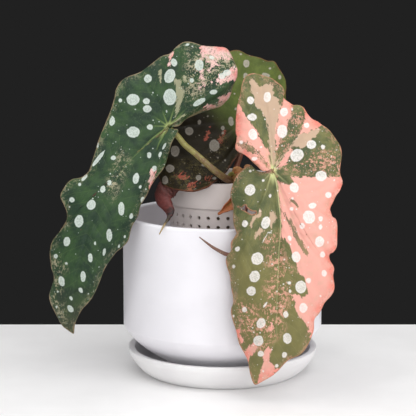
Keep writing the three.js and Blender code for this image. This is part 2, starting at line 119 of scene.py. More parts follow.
# Leaf stalks and the dried tendril, on sight lines: (across, up, forward, radius).
LEFT_STALK = [
    (6.6, 116.6, 25, 2.9),
    (4.4, 116.9, 28, 2.4),
    (0.8, 118.6, 33, 2.1),
    (-5, 123, 35, 1.95),
    (-11.2, 128.4, 32, 1.85),
    (-16.8, 133.4, 27, 1.8),
    (-22.6, 138.3, 21, 1.75),
    (-26.9, 143.6, 17.5, 1.65),
    (-31.2, 148, 19.2, 1.3),
]
BACK_STALK = [
    (6.6, 117.6, 23, 2.2),
    (7.8, 123.8, 13, 1.8),
    (10.6, 132.2, -2, 1.6),
    (13.3, 142.5, -17, 1.5),
    (14, 152, -18, 1.2),
]
RIGHT_STALK = [
    (14.5, 114.5, 38, 2.5),
    (18.5, 115.5, 46, 1.9),
    (24.5, 118.5, 55, 1.7),
    (29.2, 122, 60.8, 1.2),
]
TENDRIL = [
    (14.6, 114, 39, 1),
    (15, 108.4, 48, 0.9),
    (14.6, 102.6, 55, 0.9),
    (13.8, 96.6, 61, 0.9),
    (12.7, 90.3, 63.8, 0.9),
    (10.5, 80.5, 64.3, 1),
    (7.3, 73.3, 64.6, 1.1),
    (3.3, 71.4, 64.6, 1.2),
    (-4.6, 75.2, 64.4, 0.9),
    (-9.4, 78.6, 63.9, 0.6),
    (-14.1, 82.3, 63.3, 0.25),
]

# The back leaf's dried, curled tip and its thin tail: (across, up, forward, half width).
DRIED_TIP = [
    (-28, 116, 26.5, 4.5),
    (-32.5, 113.5, 26.5, 6),
    (-35.4, 109.5, 27.5, 5.8),
    (-36, 105.4, 30, 4.6),
    (-33.8, 101.4, 33.5, 3.2),
    (-31.9, 97.9, 38, 2.4),
    (-32.3, 94.6, 42, 1.1),
    (-33.6, 92.1, 45.5, 0.7),
    (-34.9, 90.2, 48.5, 0.6),
    (-36.4, 87.4, 50.8, 0.5),
    (-38.2, 83.9, 52, 0.3),
]

# Plant points are (across, up, forward). Across and up are measured in the upright plane through the
# pot's axis, and the point then comes forward along its sight line to this viewing station.
STATION = np.array([-8.8, -1000.0, 264.7])
VIEW_PITCH = math.radians(9.35)  # the viewing station looks down by this
VIEW_LENS = 145.7
SENSOR = 36.0

BLADE_EDGE = 1.1  # the longest edge in a blade's mesh, away from a tear
TEAR_EDGE = 0.35  # the longest edge in a tear and within TEAR_REACH of it
TEAR_REACH = 1.0
MOST_HALVINGS = 8
BLADE_THICKNESS = 0.55
STIPULE_THICKNESS = 0.5
DRIED_THICKNESS = 0.6
CREASE = math.radians(38)  # faces that meet at more than this have a sharp edge between them
BEND_STEPS = 5  # points on a rounded corner

# ---- The leaves ----
# Outlines run clockwise from the cut at the stalk, as seen from the front. A rib is (number of the margin
# point that it runs to, its middle point). Spots are (across, up, width, height, lean in degrees). Patches
# are outlined by (across, up) points, and veins pass through them on their way out from the stalk's end.

# Dark green, hanging to the left and in front of the pot's side.
LEFT_LEAF = {
    "attachment": (-32.5, 149.5, 20),
    "margin": [
        (-29, 148, 20), (-26.5, 147, 20.5), (-28.5, 143, 22), (-31, 138.5, 24), (-32, 133, 26),
        (-34.5, 126, 29), (-38.5, 120, 32), (-43, 113, 35), (-46, 107.5, 37), (-49, 101.5, 39),
        (-51, 95.5, 40), (-53.5, 90.5, 40), (-55.5, 85.5, 39.5), (-57.5, 79.5, 39), (-60.5, 75.5, 39),
        (-65, 72.5, 40), (-70, 64.5, 41), (-75, 53.5, 41), (-80.5, 43, 40), (-86, 36, 39),
        (-90, 28.5, 37), (-90.5, 22, 36), (-94.5, 25, 37), (-99, 29.5, 38), (-103, 37.5, 39),
        (-105, 46, 40), (-103.5, 52, 41), (-102, 58.5, 42), (-104, 64, 41), (-104.5, 71, 40),
        (-102.5, 80, 39), (-99, 85.5, 39), (-94.5, 91, 40), (-94, 96, 40), (-95.5, 102, 38),
        (-97.5, 108, 36), (-94.5, 114, 34), (-90, 117.5, 33), (-84.5, 119, 34), (-80, 123, 34),
        (-77.5, 131, 31), (-74.5, 140.5, 27), (-71, 149, 23), (-67, 159.5, 19), (-64.5, 166.5, 17),
        (-63.5, 172, 15), (-60.5, 176.5, 13), (-55.5, 179.5, 11), (-48.5, 182.5, 9), (-42.5, 186.5, 7),
        (-36.5, 191.5, 5), (-31, 193, 5), (-28, 196.5, 2), (-24, 199.5, 0), (-18.5, 199.5, 0),
        (-12.5, 198, 2), (-8, 197, 3), (-3, 197, 2), (1, 196.5, 2), (4.5, 193, 3),
        (7.5, 187.5, 5), (8.5, 182.5, 7), (8, 176.5, 9), (5.5, 172, 7), (3.5, 166, 6),
        (1, 163, 6), (-3.5, 161, 7), (-8, 160, 8), (-13.5, 158.5, 9), (-20.5, 154.5, 14),
        (-25, 150.5, 18), (-28.5, 149.5, 20),
    ],
    "ribs": [
        (0, (-31, 148.5, 20)), (3, (-32.5, 143, 23)), (6, (-38, 134, 29)),
        (9, (-44, 124.5, 34)), (12, (-49.5, 116.5, 37)), (15, (-56.5, 109, 40)),
        (18, (-67, 96.5, 45)), (21, (-75, 90.5, 47)), (23, (-76.5, 95, 46)),
        (26, (-74, 102, 44)), (29, (-72.5, 110, 41)), (32, (-67.5, 117.5, 38)),
        (35, (-65, 123, 35)), (38, (-60.5, 128.5, 31)), (41, (-53.5, 144.5, 25)),
        (44, (-49.5, 158, 20)), (47, (-44, 164.5, 17)), (50, (-35, 170.5, 14)),
        (53, (-27, 175, 12)), (56, (-19.5, 175, 12)), (59, (-13.5, 173, 15)),
        (62, (-10.5, 164.5, 19)), (65, (-16, 157, 16)), (68, (-23, 153.5, 17)),
        (71, (-30.5, 149.5, 20)),
    ],
    "spots": [
        (-29, 187.5, 4, 5, 20), (-31.5, 179.5, 6.5, 9, -20), (-31.5, 167, 8, 10), (-44.5, 178, 5, 5),
        (-53.5, 165.5, 8, 7), (-45.5, 164.5, 4.5, 4), (-45, 160, 5.5, 4.5), (-53.5, 146, 8, 7),
        (-43.5, 149, 4, 3.5), (-65.5, 130.5, 3.5, 3, 20), (-74.5, 130, 2.5, 12, -37),
        (-66, 152.5, 3.5, 6, -10),
        (-61, 165, 2.5, 3), (-75, 138.5, 2, 4), (-44, 132, 3, 4), (-52, 118, 4, 7, -10),
        (-68, 115.5, 3, 3.5, -20), (-72, 111.5, 3.5, 4.5, -10), (-61, 99.5, 4, 8.5),
        (-79, 102, 5.5, 6.5, -25),
        (-90.5, 105, 3.5, 3.5), (-86.5, 92, 5.5, 8, -10), (-83, 118.5, 2.5, 5.5, -35),
        (-86, 114.5, 2, 2.5, -25), (-14, 186, 5.5, 7), (-14, 164, 8.5, 3.5, 30), (-5.5, 170, 5, 3, 8),
        (-21, 198, 3, 1.5, 20), (-18, 197, 1.5, 1), (-41, 124, 3, 4, -15), (-35, 137.5, 1.5, 5, -30),
        (-37.5, 132.5, 2, 4, -20), (-94, 79.5, 4.5, 6, -8), (-68.5, 83.5, 3.5, 8),
        (-71.5, 73, 2, 5, -10),
        (-80, 69.5, 3, 5.5), (-84.5, 58, 3.5, 7), (-97.5, 55, 4, 6.5, 15), (-101, 70.5, 3, 3, 15),
        (-86, 49.5, 2.5, 4, 30), (-92.5, 38, 3.5, 5, 30), (-92, 44.5, 2, 3, 20),
        (-55, 95, 2.5, 3.5, -8),
        (-62.5, 76.5, 1.5, 2.5, -15), (-59, 82.5, 1.5, 2), (-48, 105, 2.5, 4, -15),
        (-49.5, 113, 2, 2.5, -25),
        (-77, 78.5, 1.5, 2.5, -5), (-94.5, 66, 2, 2), (-100, 48.5, 1.5, 1.5), (-101, 39, 1.5, 2),
        (-6.5, 190.5, 3.5, 2.5, -20), (-18.5, 177, 3, 3), (-33.5, 158.5, 1, 2), (-0.5, 179.5, 4, 4),
        (2.5, 181.5, 5, 4),
    ],
    "pink": [
        [
            (-13, 198), (-6, 198), (-0.5, 198), (6, 194), (6, 190.5), (2.5, 188.5), (-1.5, 189),
            (-4, 185), (-7.5, 182), (-7.5, 185), (-10, 187.5), (-12.5, 189), (-13.5, 193),
        ],
        [(-6, 176), (-1.5, 179.5), (3, 182.5), (7, 186), (10, 183), (10, 177), (4.5, 177), (-1, 175)],
        [
            (-14, 183), (-12, 182.5), (-12, 178), (-10.5, 175), (-13, 172), (-15, 173.5), (-13, 176.5),
            (-13.5, 180),
        ],
        [(-31.5, 195), (-30, 194), (-30.5, 189), (-31.5, 185), (-33, 186.5), (-32, 189)],
        [
            (-3.5, 166), (6, 170.5), (6, 166), (1.5, 161.5), (-3.5, 160), (-11, 160), (-11, 161.5),
            (-7, 162.5), (-4, 161.5), (-1, 164.5),
        ],
        [
            (-42.5, 124), (-40.5, 122.5), (-42, 119), (-39, 119.5), (-42, 114), (-43.5, 111),
            (-44.5, 117),
        ],
    ],
    "beige": [
        [
            (-28, 178), (-25.5, 178), (-25, 173), (-23, 169.5), (-23.5, 166.5), (-25, 162.5),
            (-26.5, 158), (-28.5, 155), (-28, 161.5), (-27.5, 166), (-28, 170), (-28.5, 174),
        ],
        [(-38, 183), (-36.5, 183), (-36.5, 177), (-37, 175), (-38, 178.5)],
        [(-17, 185.5), (-16, 190.5), (-14.5, 195), (-14, 190.5), (-15.5, 185.5)],
        [(-24, 179), (-22, 181), (-22, 176)],
        [(-30.5, 151), (-24.5, 156.5), (-22, 156.5), (-26.5, 152.5), (-29, 149.5)],
    ],
    "mottle": [
        [
            (-22, 194), (-13.5, 197.5), (5.5, 194), (9, 182), (1.5, 175), (-10.5, 170), (-20.5, 163),
            (-23.5, 171), (-22, 183),
        ],
        [
            (-104.5, 71), (-98.5, 69.5), (-95, 63), (-99.5, 58.5), (-97.5, 43.5), (-95.5, 28),
            (-101.5, 32), (-105.5, 46), (-103, 54), (-104.5, 63),
        ],
        [(-61.5, 135), (-55.5, 129), (-61.5, 114), (-66.5, 105), (-70, 111), (-66.5, 123)],
    ],
    "midrib": 1,
    "veins": [
        [(-38.5, 138.5), (-43.5, 123), (-49.5, 108), (-57, 91.5), (-62.5, 79)],
        [
            (-43, 141.5), (-52.5, 132), (-56, 128.5), (-64, 117.5), (-70.5, 108),
            (-77, 96.5), (-81, 86.5), (-86.5, 67), (-89, 43.5), (-90.5, 22),
        ],
        [(-46, 149.5), (-59, 145.5), (-71, 137), (-78.5, 126)],
        [(-43.5, 157), (-53.5, 161.5), (-62, 167.5)],
        [(-37, 161), (-42.5, 170.5), (-49, 180)],
        [(-28.5, 162.5), (-26, 175), (-25.5, 188), (-25.5, 198)],
        [(-19.5, 163), (-10, 177), (-0.5, 190.5)],
        [(-25.5, 155), (-15.5, 159.5), (-5, 165.5), (3.5, 167.5)],
    ],
}

# Two olive stretches of the right leaf that pink is mottled over.
RIGHT_UPPER_OLIVE = [
    (42.5, 162.5), (47, 162), (47.5, 159.5), (49, 155.5), (47, 150), (44, 145.5), (41.5, 140),
    (37.5, 134), (33, 131), (32, 133.5), (35, 139.5), (35.5, 142.5), (38.5, 145.5), (39.5, 152),
    (42, 155.5), (41.5, 159.5),
]
RIGHT_HEM_OLIVE = [
    (9, 139), (14.5, 140), (17.5, 138), (21, 135), (24, 131.5), (27.5, 125.5), (25, 127.5),
    (21, 133), (17.5, 134), (14, 136),
]

# Salmon pink, beige and olive, hanging in front of the pot.
RIGHT_LEAF = {
    "attachment": (30, 123, 62),
    "margin": [
        (27, 122.5, 62.5), (23.5, 123, 62), (19, 126.5, 61), (15.5, 131, 60), (12.5, 132.5, 59),
        (9, 134.5, 57), (7.5, 137.5, 56), (8, 143, 54), (8, 147.5, 52), (7.5, 154.5, 50),
        (8.5, 159.5, 49), (9, 163.5, 48), (10.5, 169.5, 46), (11.5, 175, 43), (13.5, 179.5, 41),
        (17.5, 181, 40), (22.5, 180.5, 39), (27, 179, 39), (31.5, 176.5, 39), (35.5, 173.5, 40),
        (36.5, 170, 41), (36.5, 167, 42), (39, 164, 43), (41.5, 162.5, 43), (44.5, 162.5, 42),
        (48, 160.5, 42), (51, 157, 43), (53.5, 153.5, 44), (57.5, 152, 43), (61.5, 149, 44),
        (66, 144, 46), (70, 139, 48), (71, 133.5, 50), (71, 127, 52), (70.5, 120.5, 55),
        (72, 115.5, 57), (71, 111.5, 59), (68, 107.5, 61), (66.5, 103, 63), (64.5, 99, 64),
        (66, 95.5, 66), (68.5, 93, 66), (69, 85, 67), (69.5, 77, 68), (67, 73.5, 70),
        (65, 71.5, 70), (65.5, 67, 70), (67.5, 62.5, 69), (67.5, 57.5, 70), (67.5, 50.5, 71),
        (66, 45.5, 72), (61.5, 41, 72), (58.5, 34.5, 73), (56, 30.5, 73), (55, 23.5, 74),
        (53, 16, 75), (48, 10, 76), (41, 6, 76), (34.5, -0.5, 76), (27, -6, 76),
        (20, -10, 75), (17.5, -3.5, 75), (15.5, 4, 75), (13, 11, 74), (9.5, 18.5, 73),
        (7.5, 26, 72), (5.5, 36, 71), (6, 42, 71), (6, 49, 70), (4.5, 56.5, 69),
        (3, 62.5, 69), (2.5, 69.5, 69), (4.5, 74, 69), (5.5, 79, 69), (8, 83, 69),
        (7, 89, 68), (6.5, 96.5, 67), (5.5, 102, 65.5), (5, 108.5, 63), (5.5, 113.5, 61),
        (7.5, 118, 59), (10.5, 122, 57), (13.5, 125, 56), (17.5, 126, 56),
    ],
    "ribs": [
        (0, (28.5, 123, 62.5)), (2, (24, 125.5, 62.5)), (4, (22, 129, 62)),
        (6, (18.5, 133, 61)), (9, (19.5, 139, 59)), (12, (21, 148.5, 55)),
        (15, (24, 152, 52)), (18, (29.5, 151.5, 51)), (21, (33.5, 146.5, 53)),
        (24, (37, 143.5, 55)), (27, (42, 139, 56)), (30, (48.5, 134, 58)),
        (33, (51, 125.5, 60)), (36, (51, 117, 63)), (39, (48.5, 108.5, 67)),
        (42, (50, 101.5, 71)), (45, (48, 91.5, 74)), (48, (48.5, 85.5, 75)),
        (51, (46, 77, 77)), (54, (42, 70, 79)), (57, (37, 64.5, 80)),
        (60, (33, 56, 81)), (63, (24, 64.5, 79)), (66, (18.5, 76, 77)),
        (69, (17, 86.5, 76)), (72, (17, 96.5, 74)), (75, (18, 104.5, 71)),
        (78, (17.5, 113, 67)), (80, (19, 118, 63)), (83, (23.5, 122, 60.3)),
    ],
    "spots": [
        (16.5, 165, 4.5, 5), (26.5, 167, 4.5, 6.5), (17.5, 155, 6, 4.5, -5), (18, 144.5, 5.5, 7, 15),
        (35.5, 146.5, 6.5, 8), (36.5, 158, 5, 5.5), (50, 150, 3.5, 3.5), (53, 138.5, 6, 5.5),
        (44.5, 132, 8.5, 7.5, 40), (60, 137, 3, 3), (59, 119.5, 7, 6.5), (43, 112.5, 5.5, 6.5, 25),
        (63.5, 108, 4, 4, -30), (16.5, 111, 6.5, 7, -25), (28.5, 107.5, 2, 2.5), (54, 101.5, 5, 4, 10),
        (52, 94.5, 7.5, 8.5, 20), (48, 89, 3.5, 4), (59, 93.5, 3, 3.5), (59, 88.5, 2.5, 3.5),
        (40.5, 81.5, 2.5, 3.5, 15), (58.5, 79.5, 5.5, 7), (60.5, 71.5, 3.5, 4), (44.5, 70, 5.5, 7, 10),
        (61.5, 60, 3.5, 4.5), (52, 55.5, 3.5, 3.5), (47.5, 51.5, 7, 8), (40.5, 54, 2.5, 2.5),
        (41, 49, 2, 2.5),
        (49, 38.5, 5, 6.5), (38.5, 34.5, 3.5, 4.5), (39.5, 19.5, 5.5, 7, 5), (38, 9, 3.5, 4),
        (23.5, 29, 5.5, 7, -25), (22, 18, 6.5, 7, -15), (23.5, 10, 4, 4), (13.5, 37.5, 3.5, 3.5),
        (17.5, 49, 6, 6), (19.5, 58, 6.5, 7.5, -15), (21, 69, 7.5, 8, -25), (26, 91, 5.5, 8, -15),
        (13.5, 90.5, 4, 4.5), (9, 75, 3, 3.5, -35), (6.5, 64, 2.5, 2.5), (41.5, 99.5, 3, 2.5),
        (19, 130, 4, 2.5, 10), (11, 140, 2.5, 2.5), (41.5, 160, 1.5, 2), (26, 40.5, 1.5, 4.5, -35),
        (25.5, 81.5, 0.5, 8.5, -30), (28.5, 85, 3.5, 1, -8), (52, 29.5, 1.5, 1.5), (33, 2.5, 2.5, 2.5),
        (35.5, 138, 1, 2), (23, 137, 2, 1.5, 10), (10, 156.5, 1, 1), (24.5, 117, 2, 2), (42, 106, 2, 2),
        (7, 33.5, 1.5, 2), (15, 5.5, 1, 1), (25, -1.5, 1.5, 2), (67, 117, 1.5, 1.5), (66, 127, 1, 1),
        (59.5, 46, 1.5, 1.5), (63.5, 79, 1, 2), (59.5, 146.5, 1, 1), (16.5, 122.5, 2, 2),
        (29.5, 98.5, 1, 1),
    ],
    "pink": [
        [
            (8, 163.5), (11, 161), (14, 154.5), (17, 151), (20.5, 147.5), (22, 143), (24.5, 138.5),
            (27.5, 135), (29, 125.5), (29.5, 122.5), (23.5, 127.5), (17.5, 134.5), (12, 136.5),
            (8, 140.5), (6, 148.5),
        ],
        [
            (6, 141.5), (10.5, 137.5), (14.5, 135), (20, 133), (23, 129), (27, 125.5), (29.5, 122),
            (23.5, 122), (16.5, 129), (8, 132), (5, 136.5),
        ],
        [
            (35, 163), (37.5, 167.5), (42.5, 163), (42, 160), (41.5, 156.5), (39, 152.5), (38.5, 146),
            (35, 141.5), (32.5, 135), (31.5, 139.5), (32, 149.5), (33.5, 155.5),
        ],
        [
            (48, 161.5), (51, 160.5), (55, 154.5), (61, 152), (58, 149), (51.5, 146.5), (46, 145),
            (48, 151.5), (49, 156.5),
        ],
        [(41, 137), (42, 134), (39.5, 130), (37.5, 126), (33, 124), (32, 124), (35, 128.5), (38, 133)],
        [
            (33, 116.5), (39.5, 114.5), (43, 115.5), (40.5, 119), (55.5, 119), (73.5, 119), (77, 80.5),
            (74.5, 31), (54, 20.5), (52, 26.5), (49, 30.5), (45.5, 34.5), (43.5, 39), (44, 42),
            (41.5, 47), (44, 47), (49, 45), (52, 48), (51.5, 53), (49, 57.5), (46, 60.5), (44.5, 65),
            (42, 73), (40, 78.5), (37, 81.5), (35, 80), (35.5, 89.5), (35, 99), (33.5, 109),
        ],
        [(7, 24), (9.5, 24), (14, 18), (11.5, 15.5), (8.5, 19.5)],
        [(12.5, 9.5), (18, 17), (21.5, 14.5), (17, 7), (15.5, 3.5), (14, 4.5)],
        [
            (27.5, 15.5), (29.5, 12), (29, 6), (32, 1), (35, 0), (28, -7.5), (22, -10), (24, 2.5),
            (25, 9),
        ],
        [(30, 30), (31, 29.5), (31.5, 25), (30, 25), (28.5, 26)],
    ],
    "beige": [
        [
            (16, 176.5), (17.5, 179), (19.5, 176.5), (22, 173), (24, 174), (28, 175), (30, 172),
            (30.5, 168), (32.5, 167.5), (33.5, 163), (34.5, 161.5), (34, 155.5), (32, 150), (32, 143.5),
            (32, 135), (31, 125.5), (29.5, 125.5), (28, 137.5), (27, 148), (26, 153.5), (23, 158),
            (22, 159.5), (18.5, 163), (19, 167), (17, 170),
        ],
        [
            (58.5, 149.5), (56, 143.5), (50.5, 138.5), (48.5, 136), (42, 137.5), (36.5, 130.5),
            (32, 125), (31.5, 127.5), (39, 136), (45.5, 144.5), (51.5, 147),
        ],
        [
            (12, 152.5), (15.5, 151), (20, 146.5), (22, 140), (24.5, 136), (26.5, 130.5), (21, 135),
            (17, 137.5), (13.5, 140.5), (12.5, 146.5),
        ],
        [(28.5, 97.5), (30.5, 98.5), (32.5, 94), (31.5, 91.5), (29, 88), (27.5, 91.5)],
        [(23, 88), (25.5, 86.5), (22, 83.5), (19.5, 81.5), (20, 85.5)],
        [
            (21.5, 96.5), (22.5, 99.5), (23.5, 98), (23, 95), (20, 94), (17.5, 88), (16.5, 89),
            (17.5, 94.5),
        ],
    ],
    "green": [
        RIGHT_UPPER_OLIVE,
        RIGHT_HEM_OLIVE,
        [
            (35, 99), (36.5, 97.5), (39, 94), (41.5, 92.5), (43, 89), (45, 85.5), (46, 82.5),
            (48.5, 78.5), (51.5, 73), (51, 70.5), (48.5, 73), (45.5, 78.5), (43.5, 82.5), (41.5, 87),
            (39.5, 90), (37.5, 93.5),
        ],
        [(40, 106.5), (41.5, 105.5), (43.5, 104.5), (45.5, 102), (45, 100.5), (43, 103), (41, 103.5)],
        [(32.5, 119), (40.5, 119), (42.5, 115.5), (39.5, 114.5), (34, 117)],
    ],
    "mottle": [
        [
            (32, 123), (46.5, 130.5), (57, 135), (66, 135), (73.5, 130.5), (73.5, 118.5), (57, 122),
            (44, 122),
        ],
        [
            (24, 83), (33, 85.5), (36.5, 73), (42, 63), (41, 43.5), (37, 24.5), (24, 11), (17, 15.5),
            (24, 37), (27.5, 62),
        ],
        [(7, 43.5), (16.5, 42), (24, 36), (21.5, 24.5), (14.5, 19.5), (8.5, 24.5)],
        RIGHT_UPPER_OLIVE,
        RIGHT_HEM_OLIVE,
    ],
    "tears": [
        [
            (9, 101), (11, 100.5), (12, 100.5), (12.5, 101.5), (14, 102), (14.5, 100.5), (16, 99), (18, 98),
            (20, 98), (20.5, 97), (20, 96.5), (17.5, 96), (15.5, 97), (14, 98), (12, 99), (10, 100),
        ],
    ],
    "midrib": 8,
    "veins": [
        [(23.5, 127.5), (15, 132), (9, 137.5)],
        [(26, 135), (21, 147.5), (14.5, 159.5), (10.5, 168)],
        [(29, 138.5), (27, 153.5), (24, 168), (21, 179.5)],
        [(33.5, 136.5), (39, 148.5), (42.5, 160.5)],
        [(39, 134), (48.5, 142.5), (59.5, 151)],
        [(44, 127.5), (58.5, 132), (70, 134)],
        [(40.5, 114), (51.5, 103.5), (64.5, 96.5)],
        [(38, 102), (48, 81.5), (65, 62)],
        [
            (31.5, 118.5), (33, 111), (34, 101.5), (35, 92.5), (34.5, 81.5), (34, 73.5),
            (33.5, 54), (33, 42), (33, 30.5), (32.5, 18.5), (26.5, 2.5), (20, -10),
        ],
        [(25.5, 108), (18.5, 91.5), (12.5, 77), (5, 62)],
        [(23.5, 115.5), (16, 107), (8, 99)],
    ],
}

# Olive green, behind the other two, with its lower side hanging in front of the inner pot's collar.
BACK_LEAF = {
    "attachment": (14, 153.5, -16),
    "margin": [
        (12.5, 146.5, -10), (10.5, 139.5, -1), (9, 133, 9), (6, 127.5, 17), (2, 122.5, 24),
        (-3, 117.5, 32), (-7, 114.5, 37.5), (-10.5, 112.5, 39.5), (-14.5, 110.5, 40), (-19.5, 110.5, 38.5),
        (-24.5, 110.5, 36), (-29, 111.5, 33), (-33.5, 113, 29.5), (-36.5, 114.5, 25.5), (-38.5, 118.5, 21),
        (-40.5, 124.5, 15), (-43, 131.5, 9), (-43, 140, 2), (-41, 149.5, -4), (-36, 159.5, -11),
        (-30, 167.5, -17), (-22.5, 176, -24), (-14, 184.5, -31), (-5, 191, -37), (4.5, 194.5, -41),
        (10, 194.5, -42), (15, 192.5, -42), (21, 190.5, -42), (26, 189, -42), (30, 188.5, -42),
        (32.5, 185.5, -41), (35.5, 181.5, -40), (37, 177, -39), (38, 172, -37), (37.5, 166, -34),
        (38.5, 158.5, -30), (39, 151, -26), (36, 143, -22), (29.5, 137.5, -18), (22.5, 138, -17),
        (17, 142, -16.5), (14.5, 146.5, -14),
    ],
    "ribs": [
        (0, (13.5, 150, -13)), (2, (10, 143, -8)), (5, (4.5, 136, 4)),
        (8, (-2, 132, 12)), (11, (-9, 133, 15)), (13, (-13.5, 135, 14)),
        (16, (-15, 142.5, 7)), (19, (-12, 156.5, -5)), (22, (-1.5, 167.5, -18)),
        (25, (10, 173, -27)), (28, (20, 172, -28)), (31, (25, 167, -27)),
        (34, (26, 160, -24)), (37, (24.5, 148, -19)), (39, (18.5, 145.5, -16.5)),
        (41, (14.5, 150, -16)),
    ],
    "spots": [
        (14, 187, 4, 5), (13.5, 179.5, 3, 4), (25.5, 180, 5, 3, -15), (34, 179, 2, 3),
        (28, 184, 2, 1.5),
        (10.5, 192.5, 2, 1.5), (5, 152.5, 3.5, 6, 8), (-5, 138, 6.5, 7.5), (-20, 146.5, 5.5, 5),
        (-28.5, 134.5, 5.5, 7), (-31.5, 124, 5.5, 5), (-34.5, 117, 4, 5.5), (-14.5, 118.5, 3.5, 3.5),
        (-14, 152, 2.5, 3), (-9, 155.5, 1.5, 1.5), (-6, 155.5, 1, 1), (-11.5, 126, 3, 2),
        (-5, 118, 3, 2, -20),
        (-3, 130.5, 1.5, 1.5), (1.5, 129, 1.5, 1.5), (2.5, 124, 1, 1), (0, 145.5, 2, 2), (8, 160, 2, 2),
        (7, 169, 1.5, 1.5), (-16.5, 111.5, 2, 1), (0, 148.5, 2.5, 3),
    ],
    "pink": [
        [(-27.5, 119.5), (-24.5, 121), (-21, 119), (-23, 117.5), (-27, 117.5)],
        [(-19, 110.5), (-22, 110.5), (-19.5, 114), (-17, 116), (-15.5, 117), (-16.5, 114.5)],
        [(-9.5, 118.5), (-7, 119), (-7.5, 115), (-8.5, 117)],
        [(-2, 139.5), (-1.5, 143.5), (1, 146.5), (1, 143), (-0.5, 140)],
        [(-11.5, 140.5), (-10, 145), (-7.5, 149), (-7.5, 145), (-9.5, 141.5)],
    ],
    "mottle": [
        [
            (-33, 122), (-24.5, 129), (-13.5, 129), (-6.5, 135), (1, 148.5), (4.5, 143.5), (-4, 123),
            (-11, 112), (-28, 112),
        ],
    ],
    "midrib": 1,
    "veins": [
        [(8, 138.5), (-3, 125.5), (-14, 112)],
        [(-0.5, 142.5), (-16, 130.5), (-33, 114.5)],
        [(-4.5, 152), (-25.5, 149.5), (-42.5, 143.5)],
        [(-0.5, 163.5), (-16, 170), (-25.5, 172.5)],
        [(9, 167.5), (2, 182), (-3.5, 191.5)],
        [(16, 170), (17.5, 183), (18, 191.5)],
        [(24.5, 165.5), (34, 179.5)],
        [(26, 152), (38.5, 154.5)],
    ],
}

# Stipules at the nodes: small sheets with straight ribs.
GREEN_STIPULE = {
    "attachment": (7, 115.8, 24.5),
    "margin": [
        (5, 113.5, 25), (2.5, 115, 28), (2, 118, 29.5), (4, 121.5, 30), (6.5, 121.5, 29), (8.5, 118, 27),
    ],
}
CRINKLED_STIPULE = {
    "attachment": (8, 116, 24.5),
    "margin": [
        (5.5, 119, 23), (6, 123.5, 23), (9, 125.5, 25), (12, 124, 24), (14.5, 126.5, 25),
        (17.5, 125, 24), (16, 120, 25), (12, 116, 26),
    ],
}
HANGING_STIPULE = {
    "attachment": (14.5, 114.5, 38),
    "margin": [
        (15, 106, 42), (8.5, 100, 43), (3, 98, 43.5), (-2.8, 95.8, 42.5), (0, 99.8, 43),
        (3.5, 104.5, 43), (9, 110, 41),
    ],
}

# ---- Colours, as they look ----


def colour(code):
    """The linear colour of a #rrggbb code."""
    parts = [int(code[i : i + 2], 16) / 255 for i in (1, 3, 5)]
    linear = [c / 12.92 if c <= 0.04045 else ((c + 0.055) / 1.055) ** 2.4 for c in parts]
    return (*linear, 1.0)


def as_colours(look):
    return {key: colour(value) if isinstance(value, str) else value for key, value in look.items()}


# The low tone sets in below a line that runs up to the left by `low_lean`, and `spot_low_share` of it goes
# over the spots there.
# On the left and right leaves it is the greyer tone of the lower part, towards the tip; on the back leaf it
# is painted shade, the shadow of the leaves in front over its lower left.
LEFT_LOOK = {
    "deep": "#1b3120",
    "light": "#304a28",
    "streak": "#22382a",
    "fleck": "#5c7448",
    "low": "#3b3d2b",
    "low_from": 70,
    "low_to": 25,
    "low_lean": 0,
    "low_share": 0.8,
    "spot_low_share": 0.1,
    "beige": "#9c9a7c",
    "pink": "#e6bcb6",
    "coral": "#e08a84",
    "speck": "#a8a084",
    "spot": "#ccd6ce",
    "vein": "#8ea45c",
    "midrib_end": 0.5,
    "heart": "#a9b370",
    "edge": "#8f7a5e",
    "edge_share": 0.7,
    "under": "#5f2a28",
    "shine": 0.25,
}
RIGHT_LOOK = {
    "deep": "#464f2c",
    "light": "#6c6c40",
    "streak": "#47533a",
    "fleck": "#8e9068",
    "low": "#7d7444",
    "low_from": 110,
    "low_to": 70,
    "low_lean": 0,
    "low_share": 0.6,
    "spot_low_share": 0.1,
    "beige": "#c4a68e",
    "pink": "#e6a497",
    "coral": "#ea8375",
    "speck": "#d99c88",
    "spot": "#ebe6e2",
    "vein": "#b9b783",
    "midrib_end": 0.95,
    "heart": "#dfe3a0",
    "edge": "#c9866c",
    "edge_share": 0.55,
    "under": "#a85c52",
    "shine": 0.3,
}
# The back leaf's near-black low tone is painted shade: the shadow that the leaves in front cast over its
# lower left.
BACK_LOOK = {
    "deep": "#485426",
    "light": "#5a662f",
    "streak": "#4a542c",
    "fleck": "#6f7440",
    "low": "#190f09",
    "low_from": 166,
    "low_to": 142,
    "low_lean": 0.9,
    "low_share": 0.95,
    "spot_low_share": 0.35,
    "beige": "#857c56",
    "pink": "#8c4638",
    "coral": "#8c4638",
    "speck": "#4c4426",
    "spot": "#a39c90",
    "vein": "#4a4626",
    "midrib_end": 0.5,
    "heart": "#4a4626",
    "edge": "#6d4030",
    "edge_share": 0.6,
    "under": "#4f201e",
    "shine": 0.12,
}

# ---- Smooth curves and distances ----


def on_sight_lines(points):
    """The places of (across, up, forward) points, and anything that follows in their rows left off."""
    across, up, forward = np.asarray([p[:3] for p in points], float).T
    upright = np.stack([across, np.zeros_like(across), up], 1)
    return STATION + (upright - STATION) * (1 + forward / STATION[1])[:, None]


def as_seen(places):
    """The (across, up) of each place: where its sight line meets the upright plane."""
    upright = STATION + (places - STATION) / (1 + -places[:, 1:2] / STATION[1])
    return upright[:, [0, 2]]


def smooth_row(points, at):
    """The places at `at`, counted in points, on a smooth curve through evenly counted points."""
    ends = np.vstack([2 * points[0] - points[1], points, 2 * points[-1] - points[-2]])
    first = np.clip(at.astype(int), 0, len(points) - 2)
    t = (at - first)[:, None]
    a, b, c, d = (ends[first + k] for k in range(4))
    return 0.5 * (2 * b + (c - a) * t + (2 * a - 5 * b + 4 * c - d) * t**2 + (3 * b - a - 3 * c + d) * t**3)


